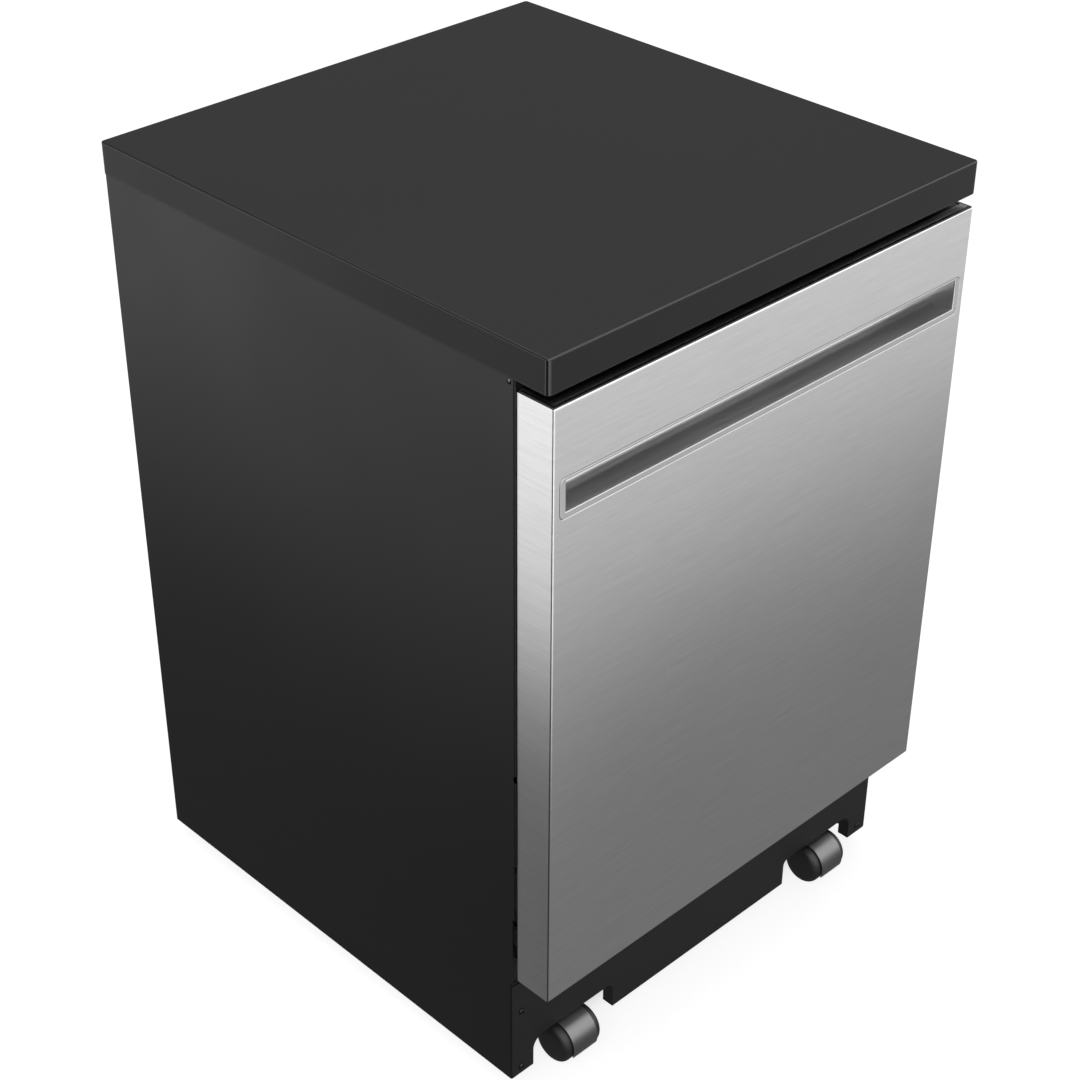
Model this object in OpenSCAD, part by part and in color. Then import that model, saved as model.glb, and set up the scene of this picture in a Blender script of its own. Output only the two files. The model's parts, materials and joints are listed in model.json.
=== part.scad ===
// Portable dishwasher on casters, front opening, with a pocket handle.
// X runs right as seen from the front, Y runs back, Z runs up, and the floor is Z = 0.

/* [Overall] */
// Width of the worktop
top_w = 610; // [560:1:660]
// Depth of the worktop
top_d = 657; // [630:1:720]
// Thickness of the worktop
top_t = 37; // [25:1:45]
// Height from the floor to the top of the worktop
total_h = 924; // [912:1:960]
// Radius of the worktop's edges
top_r = 2; // [1:0.5:4]

/* [Cabinet] */
// Outside width over the two side panels
cab_w = 606.5; // [604:0.5:610]
// Thickness of the cabinet's steel sheet
sheet_t = 1; // [0.8:0.1:1.5]
// Height of the side panels' lower edge
side_bottom = 18; // [12:1:30]
// Width of the side panels' folded edges
fold_w = 18; // [12:1:20]
// Height of the base pan above the floor
pan_z = 62; // [60:1:66]
// Thickness of the base pan's steel
pan_t = 2; // [1.5:0.1:3]
// Height of the base pan's upturned edges
pan_edge = 46; // [30:1:60]
// Width of the corner posts' legs
post_w = 20; // [16:1:20]
// Thickness of the corner posts and the rails
post_t = 1.5; // [1.2:0.1:2]

/* [Kick plate] */
// Height of the kick plate's top edge
kick_top = 155; // [145:1:156]
// Height of its two legs' lower edge
kick_low = 19.4; // [12:0.2:28]
// Height of its middle tab's lower edge
tab_low = 21; // [14:1:28]
// Distance of the middle tab's edges from the casters' stems
tab_in = 65.7; // [60:0.1:90]
// Width of the two legs beside the arches
leg_w = 32.25; // [28:0.25:36]
// Height of the arches over the casters
arch_z = 57; // [54:0.5:60]
// Radius of the arches' outer corners
arch_r = 15; // [8:1:20]
// Depth of the edges folded back round the plate
kick_fold = 14; // [8:1:16]
// Diameter of the screws' heads
screw_head = 8; // [6:0.5:10]

/* [Door] */
// Distance of the door's sides inside the cabinet's sides
door_side = 2.4; // [2:0.1:5]
// Thickness of the door from its front to its rear edges
door_t = 45.8; // [43:0.1:48]
// Height of the door's lower edge
door_bottom = 168.8; // [168:0.1:172]
// Gap between the door and the worktop
door_gap = 10.6; // [8:0.1:14]
// Thickness of the door's steel skin
skin_t = 0.8; // [0.6:0.1:1.2]
// Height of the hinge axis
hinge_z = 196; // [196:0.5:197]
// Distance of the hinge axis behind the door's front
hinge_in = 30; // [29:0.5:31]
// Diameter of the hinge pins
hinge_pin_d = 8; // [6:0.5:9]
// Distance of the liner's raised middle inside the tub's sides
field_in = 34; // [32:1:70]
// Height that the liner's middle is raised
field_h = 6; // [3:0.5:7]

/* [Handle] */
// Distance of the handle's ends inside the door's sides
handle_in = 8.85; // [7:0.05:50]
// Distance of the handle frame's upper edge below the door's top
handle_drop = 76.4; // [60:0.1:140]
// Height of the handle's frame from edge to edge
handle_h = 43; // [40:0.5:50]
// Width of the frame's upper strip
handle_top_strip = 3; // [2:0.5:5]
// Width of the frame's lower strip
handle_low_strip = 8; // [5:0.5:10]
// Width of the frame's end strips
handle_end_strip = 7.5; // [5:0.5:10]
// Depth of the finger space from the door's front
handle_d = 39; // [36:0.5:39]
// Wall of the handle's moulding
handle_wall = 1.6; // [1.2:0.1:2.5]

/* [Console] */
// Height of the console along the door's top
console_h = 28; // [24:1:32]
// Wall of the console's moulding
console_wall = 2.5; // [2:0.1:3]
// Length of a button along the door
button_l = 22; // [16:1:26]
// Width of a button from front to back
button_d = 11; // [8:1:13]
// Distance from one button to the next
button_pitch = 34; // [30:1:40]
// Travel of a button
button_travel = 1; // [0.6:0.1:1.5]

/* [Tub] */
// Space between each side of the tub and the cabinet's outside
tub_side = 31.25; // [30:0.25:35]
// Height of the ledge that the lower rack rolls on
ledge_z = 213; // [213:0.5:214]
// Distance of the tub's top below the worktop
tub_drop = 41; // [37:1:47]
// Distance between the tub's back and the rear bay
tub_clear = 14.2; // [12:0.1:20]
// Thickness of the tub's steel
tub_t = 1.2; // [1:0.1:1.5]
// Radius of the tub's long corners
tub_r = 18; // [10:1:18]
// Width of the tub's front flange
flange_w = 10; // [9:0.5:10]
// Depth of the basin in the tub's floor
basin_d = 23; // [18:0.5:26]
// Diameter of the sump's mouth
sump_d = 192; // [180:1:200]

/* [Racks] */
// Diameter of the racks' thin wires
wire_d = 3.6; // [3:0.1:4]
// Diameter of the racks' edge wires
edge_d = 5; // [4:0.1:6]
// Distance from the racks' edge wires to the tub's side walls
rack_side = 20.8; // [20:0.1:26]
// Distance of the upper rack behind the tub's front
rack_front = 18; // [16:1:30]
// Distance from the upper rack to the tub's rear wall
rack_rear = 37.8; // [36:0.1:60]
// Distance of the lower rack's front behind the upper rack's
lower_back = 12; // [10:1:30]
// Height of the lower rack's sides
lower_rack_h = 130; // [100:1:150]
// Height of the upper rack's sides
upper_rack_h = 105; // [80:1:120]
// Height of the upper rack's floor
upper_rack_z = 566; // [562:1:580]
// Height of the plate tines
tine_h = 66; // [50:1:80]
// Distance from one wire of a rack to the next
wire_pitch = 47; // [42:0.5:60]
// Diameter of the lower rack's wheels
rack_wheel_d = 36; // [32:1:36]

/* [Spray arms and filter] */
// Gap between the lower spray arm's path and the feed tube
arm_gap = 3.3; // [3:0.1:20]
// Distance that each end of the upper spray arm is shorter than the lower one's
arm_short = 24; // [20:1:40]
// Width of the spray arms at their widest
arm_w = 46; // [36:1:52]
// Thickness of the spray arms
arm_t = 11; // [9:0.5:12]
// Diameter of the fine filter
filter_d = 60; // [50:1:62]
// Diameter of the heating element's tube
heater_d = 8; // [6:0.5:9]
// Radius of the heating element's ring
heater_r = 172; // [150:1:180]
// Height that the float rises
float_rise = 8; // [5:1:10]

/* [Casters] */
// Diameter of the caster wheels
wheel_d = 50; // [48:0.5:50]
// Width of one caster wheel
wheel_w = 27; // [20:0.5:28]
// Width of the hood over the wheels
hood_w = 36.5; // [30:0.5:40]
// Gap between the hood and the wheels
hood_gap = 1; // [0.6:0.1:1.5]
// Thickness of the hood
hood_t = 1.6; // [1:0.1:2]
// Distance of the axle from the stem's axis
caster_trail = 18; // [14:0.5:20]
// Diameter of the caster's stem
stem_d = 11; // [9:0.5:12]
// Distance of the casters' stems inside the cabinet's sides
caster_in = 90.55; // [89:0.05:98]

/* [Rear bay] */
// Distance of the hose and cord glands below the bay
gland_drop = 44; // [36:1:80]
// Half width of the storage bay in the back
bay_w = 150; // [120:1:170]
// Distance of the bay's top below the worktop
bay_drop = 67; // [60:1:120]
// Height of the bay
bay_h = 220; // [180:1:230]
// Depth of the bay
bay_d = 66; // [50:1:70]
// Wall of the bay's moulding
bay_wall = 2.5; // [2:0.1:3]
// Diameter of the drain hose that the gland takes
drain_hose_d = 19; // [16:0.5:22]
// Diameter of the fill hose that the gland takes
fill_hose_d = 14; // [10:0.5:16]
// Diameter of the mains cord that the gland takes
cord_d = 9; // [6:0.5:10]

/* [Fits] */
// Radial clearance of a pin that turns in its hole
run_fit = 0.06; // [0.02:0.01:0.1]
// Gap between a moving piece and its neighbour
move_gap = 0.4; // [0.3:0.1:0.6]
// Gap between sheet pieces that lie against each other
sheet_gap = 0.3; // [0.2:0.05:0.4]
// Hairline between the separately folded sides of a wire basket
hairline = 0.05; // [0.02:0.01:0.1]

/* [Hidden] */

// Places that several pieces share
top_z0 = total_h - top_t;
back_y = 330;
top_front = back_y - top_d;
door_y0 = top_front - 3;
door_y1 = door_y0 + door_t;
door_z0 = door_bottom;
door_z1 = top_z0 - door_gap;
hinge_y = door_y0 + hinge_in;
side_x = cab_w / 2;
door_w = cab_w - 2 * door_side;
tub_w = cab_w - 2 * tub_side;
caster_x = side_x - caster_in;
tab_w = caster_x - tab_in;
leg_in = side_x - leg_w;
in_x = side_x - sheet_t;
skin_y = door_y0 + 0.3;
liner_y = door_y1 - 0.3;
liner_t = 1;
kick_y = door_y1 + 6.2;
tub_y0 = kick_y + 2 * sheet_t - tub_t;
tub_y1 = back_y - bay_d - tub_clear;
tub_top = top_z0 - tub_drop;
tub_x = tub_w / 2;
field_w = tub_x - field_in;
handle_w = door_w / 2 - handle_in;
flange_x = tub_x + flange_w;
tub_z0 = ledge_z - tub_t;
pan_top = pan_z + pan_t;
post_y = tub_y0 + tub_t;
basin_side = 37;
basin_front = 54;
basin_rear = 34;
basin_x = tub_x - basin_side;
basin_y0 = tub_y0 + basin_front;
basin_y1 = tub_y1 - basin_rear;
basin_r = 24;
basin_z = ledge_z - basin_d;

bay_z = top_z0 - bay_drop - bay_h;
handle_z = door_z1 - handle_drop - handle_h;
rack_w = tub_w - 2 * (tub_t + rack_side);
upper_y0 = tub_y0 + rack_front;
rack_d = tub_y1 - tub_t - rack_rear - upper_y0;

// Points along an arc from one angle to another
function arc(c, r, a0, a1, n = 6) =
    [for (i = [0:n]) let (a = a0 + (a1 - a0) * i / n) c + r * [cos(a), sin(a)]];
// A rectangle with round corners
function rounded(x0, y0, x1, y1, r, n = 6) = concat(
    arc([x1 - r, y0 + r], r, -90, 0, n), arc([x1 - r, y1 - r], r, 0, 90, n),
    arc([x0 + r, y1 - r], r, 90, 180, n), arc([x0 + r, y0 + r], r, 180, 270, n));

module along_x(x0, x1) translate([x0, 0, 0]) rotate([90, 0, 90]) linear_extrude(x1 - x0) children();
module along_y(y0, y1) translate([0, y1, 0]) rotate([90, 0, 0]) linear_extrude(y1 - y0) children();
module along_z(z0, z1) translate([0, 0, z0]) linear_extrude(z1 - z0) children();
module block(x0, x1, y0, y1, z0, z1) translate([x0, y0, z0]) cube([x1 - x0, y1 - y0, z1 - z0]);
module rod_x(x0, x1, y, z, d) translate([x0, y, z]) rotate([0, 90, 0]) cylinder(h = x1 - x0, d = d);
module rod_y(y0, y1, x, z, d) translate([x, y1, z]) rotate([90, 0, 0]) cylinder(h = y1 - y0, d = d);
module rod_z(z0, z1, x, y, d) translate([x, y, z0]) cylinder(h = z1 - z0, d = d);
module both_sides() {
    children();
    mirror([1, 0, 0]) children();
}

// ---------- Cabinet ----------

module worktop() {
    color("#3a3a3b") intersection() {
        along_z(top_z0, total_h)
            polygon(rounded(-top_w / 2, top_front, top_w / 2, back_y, 2 * top_r));
        along_x(-top_w, top_w)
            polygon(rounded(top_front, top_z0, back_y, total_h, top_r));
        along_y(top_front - 1, back_y + 1)
            polygon(rounded(-top_w / 2, top_z0, top_w / 2, total_h, top_r));
    }
}

// Heights at which the side panel's front edge steps back for the door's hinge
side_steps = [kick_top + 5, kick_top + 97, kick_top + 171];
side_front = [kick_y + sheet_t, kick_y - 0.8, kick_y - 3.3, door_y1 + 0.9];
bend_r = 2;
// A notch in the front edge and a hole under the worktop: place behind the door, height, size
side_notch = [-1.7, 438, 11.4];
side_hole = [8, top_z0 - 4.6, 5.4];

// Plan of a side panel: a web whose rear edge is folded inwards, and its front edge too
// unless the door's hinge swings there
module side_plan(front, folded, z0, z1) {
    fold_x = -side_x + fold_w;
    front_c = [-side_x + bend_r, front + bend_r];
    rear_c = [-side_x + bend_r, back_y - bend_r];
    inner_r = bend_r - sheet_t;
    along_z(z0, z1) polygon(concat(
        folded ? arc(front_c, inner_r, 180, 270, 4) : [[-in_x, front], [-side_x, front]],
        folded ? [[fold_x, front + sheet_t], [fold_x, front]] : [],
        folded ? arc(front_c, bend_r, 270, 180, 4) : [],
        arc(rear_c, bend_r, 180, 90, 4),
        [[fold_x, back_y], [fold_x, back_y - sheet_t]],
        arc(rear_c, inner_r, 90, 180, 4)));
}

module side_shell() {
    difference() {
        union() {
            side_plan(side_front[0], true, side_bottom, side_steps[0]);
            side_plan(side_front[1], false, side_steps[0], side_steps[1]);
            side_plan(side_front[2], false, side_steps[1], side_steps[2]);
            side_plan(side_front[3], true, side_steps[2], top_z0);
            block(-in_x - 0.2, -side_x + fold_w, side_front[3] + 20, back_y - 20,
                top_z0 - sheet_t, top_z0);
            block(-in_x - 0.2, -side_x + fold_w, side_front[0] + 20, back_y - 20,
                side_bottom, side_bottom + sheet_t);
        }
        for (cut = [side_notch, side_hole])
            rod_x(-side_x - 1, -in_x + bend_r, door_y1 + cut[0], cut[1], cut[2]);
        kick_holes(screw_hole_d);
    }
}

module side_panel_left() {
    color("#2c2c2d") side_shell();
}
module side_panel_right() {
    color("#2c2c2d") mirror([1, 0, 0]) side_shell();
}

// Gap between the rear panel's edges and the side panels
rear_gap = 1.5;
bay_rim = 8;
louvre_l = 70;

louvre_h = 4;
rear_seam = 300;
rear_low = 12;
louvre_pitch = 14;
louvre_rows = 6;
louvre_x = 150;
louvre_z = 150;
bay_r = 12;
bay_gap = 0.4;

// The hose and cord glands sit in the rear panel below the bay
gland_z = bay_z - gland_drop;
drain_hose_x = -78;
hose_pitch = 36;
fill_hose_x = drain_hose_x + hose_pitch;
cord_x = 62;
gland_wall = 4;
gland_neck = 12;
gland_lip = 3;
gland_inner_lip = 3;
gland_bores = [[drain_hose_x, drain_hose_d], [fill_hose_x, fill_hose_d], [cord_x, cord_d]];
function gland_d(bore) = bore[1] + 2 * gland_wall;

// A sheet that closes the cabinet's back between two heights
module back_sheet(z0, z1) {
    x = in_x - rear_gap;
    block(-x, x, back_y - 2 * sheet_t, back_y - sheet_t, z0, z1);
}

module rear_panel() {
    color("#2c2c2d") difference() {
        back_sheet(rear_seam + sheet_gap, top_z0 - sheet_t - 0.5);
        along_y(back_y - 5, back_y + 5) {
            polygon(rounded(-bay_w, bay_z, bay_w, bay_z + bay_h, bay_r));
            for (bore = gland_bores)
                translate([bore[0], gland_z]) circle(d = gland_d(bore));
        }
    }
}

// The louvred sheet that comes off for service
module access_panel() {
    color("#2c2c2d") difference() {
        back_sheet(side_bottom + rear_low, rear_seam);
        along_y(back_y - 5, back_y + 5) for (row = [0:louvre_rows - 1], side = [-1, 1])
            translate([side * louvre_x, louvre_z + row * louvre_pitch])
                polygon(rounded(-louvre_l / 2, -louvre_h / 2, louvre_l / 2, louvre_h / 2,
                    louvre_h / 2 - 0.1, 3));
    }
}

// Outline of the bay, drawn in by g
module bay_outline(g) {
    polygon(rounded(-bay_w + g, bay_z + g, bay_w - g, bay_z + bay_h - g, bay_r - g));
}

module hose_bay() {
    y0 = back_y - bay_d;
    color("#262627") difference() {
        union() {
            along_y(y0, back_y - sheet_t) bay_outline(bay_gap);
            along_y(back_y - sheet_t, back_y) bay_outline(-bay_rim);
        }
        along_y(y0 + bay_wall, back_y + 1) bay_outline(bay_gap + bay_wall);
    }
}

// A grommet for each hose and one for the cord, each in its hole in the rear panel
module rear_glands() {
    y1 = back_y - sheet_t;
    color("#1d1d1e") for (bore = gland_bores) difference() {
        union() {
            rod_y(y1 - gland_neck, y1, bore[0], gland_z, gland_d(bore) - 0.2);
            rod_y(y1, back_y, bore[0], gland_z, gland_d(bore) + 2 * gland_lip);
            rod_y(y1 - sheet_t - gland_inner_lip, y1 - sheet_t, bore[0], gland_z,
                gland_d(bore) + 2 * gland_lip);
        }
        rod_y(y1 - gland_neck - 1, back_y + 1, bore[0], gland_z, bore[1]);
    }
}

// Places of the caster stems, and the sockets that hold them
caster_front_in = 22;
caster_rear_in = 68;
caster_y_front = kick_y + caster_front_in;
caster_y_rear = back_y - caster_rear_in;
socket_d = 30;
socket_top = pan_z + 36;
socket_low = pan_z - 2;
pan_front = kick_y + 2 * sheet_t + sheet_gap;
pan_rear = back_y - 2 * sheet_t;
pan_x = in_x - 2 * sheet_gap;
pan_opening_x = 150;
pan_opening_in = 105;

module base_pan() {
    color("#8d8f91") difference() {
        union() {
            difference() {
                block(-pan_x, pan_x, pan_front, pan_rear, pan_z, pan_z + pan_edge);
                block(-pan_x + pan_t, pan_x - pan_t, pan_front + pan_t, pan_rear - pan_t,
                    pan_top, pan_z + pan_edge + 1);
            }
            for (x = [-caster_x, caster_x], y = [caster_y_front, caster_y_rear])
                rod_z(socket_low, socket_top, x, y, socket_d);
        }
        for (x = [-caster_x, caster_x], y = [caster_y_front, caster_y_rear])
            rod_z(socket_low - 1, socket_top + 1, x, y, stem_d + 2 * run_fit);
        along_z(pan_z - 1, pan_top + 1) polygon(rounded(-pan_opening_x, tub_y0 + pan_opening_in,
            pan_opening_x, tub_y1 - pan_opening_in, 16));
    }
}

rail_h = 24;
frame_x = in_x - sheet_gap;
frame_top = top_z0 - sheet_t;
// The door's lower corners swing through the front posts between these heights
swing_z = [kick_top - 4, kick_top + 97];

// A corner post: a leg beside the side panel from y0 to y1, and one along X whose outer
// face is at y0 in front and at y1 at the rear
module post(y0, y1, front) {
    face = front ? y0 : y1 - post_t;
    block(frame_x - post_t, frame_x, y0, y1, pan_top, frame_top);
    block(frame_x - post_w, frame_x, face, face + post_t, pan_top, frame_top);
}

module support_frame() {
    y0 = post_y + sheet_gap;
    y1 = pan_rear - sheet_gap;
    color("#8d8f91") difference() {
        union() {
            both_sides() {
                post(y0, y0 + post_w, true);
                post(y1 - post_w, y1, false);
                block(frame_x - post_t, frame_x, y0, y1, frame_top - rail_h, frame_top);
            }
            for (y = [y0, y1 - post_t])
                block(-frame_x, frame_x, y, y + post_t, frame_top - rail_h, frame_top);
            for (y = [y0, y1 - post_w])
                block(-frame_x, frame_x, y, y + post_w, frame_top - post_t, frame_top);
        }
        both_sides()
            block(frame_x - post_w - 1, in_x, y0 - 1, y0 + 14, swing_z[0], swing_z[1]);
        // The base pan's upturned edge
        difference() {
            block(-in_x, in_x, y0 - 1, y1 + 1, pan_z, pan_z + pan_edge);
            block(-pan_x + pan_t, pan_x - pan_t, pan_front + pan_t, pan_rear - pan_t,
                pan_z - 1, pan_z + pan_edge + 1);
        }
        kick_holes(screw_hole_d);
    }
}

// Arch over a caster, seen from the front, grown by g
function arch(g) = concat(
    arc([leg_in - arch_r, arch_z - arch_r], arch_r + g, 0, 90),
    arc([tab_w + 8, arch_z - 8], 8 + g, 90, 180, 4),
    [[tab_w - g, 0], [leg_in + g, 0]]);

module kick_plate() {
    y1 = kick_y + sheet_t;
    x = in_x + 0.6;
    color("#2a2a2b") difference() {
        union() {
            along_y(kick_y, y1) polygon(rounded(-x, kick_low, x, kick_top, 2));
            both_sides() along_y(kick_y, y1 + kick_fold) intersection() {
                polygon(arch(sheet_t));
                translate([0, kick_low]) square([side_x, kick_top]);
            }
            block(-x + 30, x - 30, kick_y, y1 + kick_fold, kick_top - sheet_t, kick_top);
        }
        both_sides() along_y(kick_y - 1, y1 + kick_fold + 1) polygon(arch(0));
        block(-tab_w - 1, tab_w + 1, kick_y - 1, y1 + kick_fold + 1, 0, tab_low);
        kick_holes(screw_hole_d);
    }
}

kick_screw_in = 14.55;
kick_screw_x = side_x - kick_screw_in;
kick_screw_z = [29.2, 111.5];
screw_d = 4;
screw_hole_d = screw_d + 0.4;
screw_l = 12;
screw_head_h = 2.2;
module kick_holes(d) {
    for (x = [-kick_screw_x, kick_screw_x], z = kick_screw_z)
        rod_y(kick_y - 1, kick_y + 2 * screw_l, x, z, d);
}

module kick_screws() {
    color("#4a4a4c") for (x = [-kick_screw_x, kick_screw_x], z = kick_screw_z) {
        rod_y(kick_y - 1, kick_y + screw_l, x, z, screw_d);
        translate([x, kick_y, z]) rotate([90, 0, 0])
            cylinder(h = screw_head_h, d1 = screw_head, d2 = 0.7 * screw_head);
    }
}

// ---------- Tub and what it carries ----------

sump_y = (basin_y0 + basin_y1) / 2;
sump_flange = 6;
sump_r = sump_d / 2 - 0.4;
sump_wall = 3;
sump_low = pan_top + 28;
port_z = 124;
port_x = sump_r + 8;
post_d = 24;
pivot_d = 18;
arm_z = ledge_z + 13;
// Rise of a spray arm's hub above and below its blades
hub_rise = 3;
terminal_d = 9;
terminal_x = 20;
terminal_l = 22;
heater_rise = 12;
heater_foot = 3;
heater_z = basin_z + heater_rise;
float_side = 47;
float_in = 51.5;
float_x = -basin_x + float_side;
float_y = basin_y0 + float_in;
float_d = 42;
feed_d = 22;
feed_y = tub_y1 - tub_t - feed_d / 2 - 3;
drain_port_d = 34;
pump_port_d = 50;

// Section of the tub seen from the front, drawn in by g
module tub_section(g) {
    polygon(rounded(-tub_x + g, tub_z0 + g, tub_x - g, tub_top - g, tub_r - g));
}

module tub() {
    lip = 6;
    color("#b9bbbd") difference() {
        union() {
            along_y(tub_y0, tub_y1) tub_section(0);
            along_y(tub_y0, tub_y0 + tub_t) polygon(rounded(-flange_x, tub_z0 - lip, flange_x,
                tub_top + flange_w, tub_r));
            along_z(basin_z - tub_t, ledge_z) polygon(rounded(-basin_x - tub_t,
                basin_y0 - tub_t, basin_x + tub_t, basin_y1 + tub_t, basin_r + tub_t));
        }
        along_y(tub_y0 - 1, tub_y1 - tub_t) tub_section(tub_t);
        along_z(basin_z, ledge_z + 1)
            polygon(rounded(-basin_x, basin_y0, basin_x, basin_y1, basin_r));
        rod_z(basin_z - 5, basin_z + 1, 0, sump_y, sump_d);
        for (x = [-terminal_x, terminal_x])
            rod_z(basin_z - 5, basin_z + 1, x, heater_end_y, terminal_d + 0.2);
        rod_z(basin_z - 5, basin_z + 1, float_x, float_y, 10);
        rod_z(tub_z0 - 1, ledge_z + 1, 0, feed_y, feed_d + 0.2);
    }
}

module tub_gasket() {
    color("#47484a") difference() {
        along_y(liner_y + move_gap, tub_y0) polygon(rounded(-flange_x + 1, tub_z0, flange_x - 1,
            tub_top + flange_w - 1, tub_r));
        along_y(liner_y - 1, tub_y0 + 1) polygon(rounded(-tub_x - 2, tub_z0 - 1, tub_x + 2,
            tub_top + 2, tub_r - 8));
        block(-side_x, side_x, liner_y - 1, tub_y0 + 1, tub_z0 - 1, ledge_z + 12);
    }
}

blanket_t = 8;
module insulation_blanket() {
    color("#5d5d5a") difference() {
        along_y(tub_y0 + 40, tub_y1 - 4) tub_section(-blanket_t - 0.4);
        along_y(tub_y0 + 39, tub_y1) tub_section(-0.4);
        block(-side_x, side_x, tub_y0, tub_y1, 0, ledge_z + 40);
        // Room for the springs' anchors
        both_sides() block(foot_x, side_x, tub_y0, anchor_y + anchor_w + 4, 0, ledge_z + 60);
    }
}

module sump() {
    top = basin_z + 2;
    color("#3b3c3e") translate([0, sump_y, 0]) {
        difference() {
            union() {
                rotate_extrude() polygon([[0, sump_low], [62, sump_low], [62, sump_low + 8],
                    [sump_r, 150], [sump_r, basin_z], [sump_r + sump_flange, basin_z],
                    [sump_r + sump_flange, top], [0, top]]);
                rod_x(-port_x, -40, 0, port_z, pump_port_d + 2 * sump_wall);
                rod_x(40, port_x, 0, port_z, drain_port_d + 2 * sump_wall);
            }
            rotate_extrude() polygon([[0, sump_low + sump_wall], [62 - sump_wall, sump_low + sump_wall],
                [62 - sump_wall, sump_low + 10], [sump_r - sump_wall, 152],
                [sump_r - sump_wall, top + 1], [0, top + 1]]);
            rod_x(-port_x - 1, -40, 0, port_z, pump_port_d);
            rod_x(40, port_x + 1, 0, port_z, drain_port_d);
        }
        rod_z(sump_low + 1, arm_z - 6, 0, 0, post_d);
        rod_z(sump_low + 1, arm_z + arm_t + hub_rise + 6, 0, 0, pivot_d);
        // Nut that keeps the lower spray arm
        rod_z(arm_z + arm_t + hub_rise + move_gap, arm_z + arm_t + hub_rise + 6, 0, 0, pivot_d + 8);
    }
}

filter_x = 50;
filter_y = sump_y - 24;
filter_low = 148;
filter_top = basin_z + 10;

module coarse_filter() {
    z0 = basin_z + 2;
    slots = 22;
    color("#909294") difference() {
        rod_z(z0, z0 + 1.6, 0, sump_y, 2 * sump_r + 6);
        rod_z(z0 - 1, z0 + 3, 0, sump_y, post_d + 2);
        rod_z(z0 - 1, z0 + 3, filter_x, filter_y, filter_d + 2 * move_gap);
        for (i = [0:slots - 1])
            if (cos(i * 360 / slots + 25) < 0.55)
                translate([0, sump_y, 0]) rotate(i * 360 / slots)
                    block(26, 82, -1.2, 1.2, z0 - 1, z0 + 3);
    }
}

module fine_filter() {
    color("#77797c") {
        difference() {
            rod_z(filter_low, filter_top, filter_x, filter_y, filter_d);
            rod_z(filter_low + 2, filter_top + 1, filter_x, filter_y, filter_d - 4);
        }
        block(filter_x - filter_d / 2 + 1, filter_x + filter_d / 2 - 1, filter_y - 3, filter_y + 3,
            filter_top - 6, filter_top + 6);
    }
}

// The ring ends over its two terminals
heater_a = 7;
heater_end_y = sump_y + sqrt(pow(heater_r, 2) - pow(terminal_x, 2));

module heating_element() {
    color("#8c8a86") {
        translate([0, sump_y, heater_z]) rotate([0, 0, 90 + heater_a])
            rotate_extrude(angle = 360 - 2 * heater_a) translate([heater_r, 0]) circle(d = heater_d);
        for (x = [-terminal_x, terminal_x])
            rod_z(basin_z - terminal_l, heater_z + heater_d / 2 + 1, x, heater_end_y, terminal_d);
        for (a = [0, 180, 270])
            translate([0, sump_y, 0]) rotate(a)
                block(heater_r - heater_d / 2, heater_r + heater_d / 2, -heater_foot, heater_foot,
                    basin_z, heater_z);
    }
}

dock_z = upper_rack_z - 12;
feed_low = 14;
roof_z = tub_top - 26;
sprayer_d = 66;
dock_l = 18;

module feed_tube() {
    color("#8f9193") difference() {
        union() {
            rod_z(tub_z0 - feed_low, roof_z, 0, feed_y, feed_d);
            translate([0, feed_y, roof_z]) sphere(d = feed_d + 2);
            rod_y(sump_y, feed_y, 0, roof_z, feed_d - 4);
            translate([0, sump_y, roof_z]) sphere(d = feed_d + 2);
            rod_z(roof_z - 16, roof_z, 0, sump_y, feed_d - 4);
            translate([0, sump_y, roof_z - 24])
                cylinder(h = 12, d1 = sprayer_d, d2 = sprayer_d - 20);
            rod_y(feed_y - dock_l, feed_y, 0, dock_z, feed_d + 4);
        }
        rod_y(feed_y - dock_l - 1, feed_y - dock_l + 10, 0, dock_z, feed_d - 2);
    }
}

pump_z = port_z;
pump_d = 92;
pump_l = 102;
pump_head_d = 108;
pump_head_l = 26;
pump_end_d = 40;
pump_end_l = 12;
pump_foot = [40, 52];
pump_foot_in = 50;

// The pipe carries the water from the pump's head to the feed tube behind the tub's floor
pipe_d = 20;

module circulation_pump() {
    head = -port_x - pump_head_l;
    rear = head - pump_l;
    foot = head - pump_foot_in;
    pipe_x = head + pump_head_l / 2;
    color("#56585b") {
        rod_x(head, -port_x, sump_y, pump_z, pump_head_d);
        rod_x(rear, head + 1, sump_y, pump_z, pump_d);
        rod_x(rear - pump_end_l, rear + 1, sump_y, pump_z, pump_end_d);
        block(foot - pump_foot[0], foot, sump_y - pump_foot[1] / 2, sump_y + pump_foot[1] / 2,
            pan_top, pump_z - pump_d / 2 + 10);
        rod_y(sump_y, feed_y, pipe_x, pump_z, pipe_d);
        rod_x(pipe_x, 0, feed_y, pump_z, pipe_d);
        rod_z(pump_z, tub_z0 - feed_low - sheet_gap, 0, feed_y, pipe_d);
        for (x = [pipe_x, 0])
            translate([x, feed_y, pump_z]) sphere(d = pipe_d);
    }
}

drain_pump_d = 50;
drain_pump_l = 66;
drain_head_d = 62;
drain_head_l = 18;
drain_spout_d = 20;
drain_spout_l = 42;
drain_foot = [14, 32];

module drain_pump() {
    head = port_x + drain_head_l;
    rear = head + drain_pump_l;
    color("#56585b") {
        rod_x(port_x, head, sump_y, pump_z, drain_head_d);
        rod_x(head - 1, rear, sump_y, pump_z, drain_pump_d);
        rod_y(sump_y + drain_spout_d, sump_y + drain_spout_d + drain_spout_l,
            port_x + drain_head_l / 2, pump_z, drain_spout_d);
        block(rear - 2 - drain_foot[0], rear - 2, sump_y - drain_foot[1] / 2,
            sump_y + drain_foot[1] / 2, pan_top, pump_z - drain_pump_d / 2 + 7);
    }
}

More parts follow.
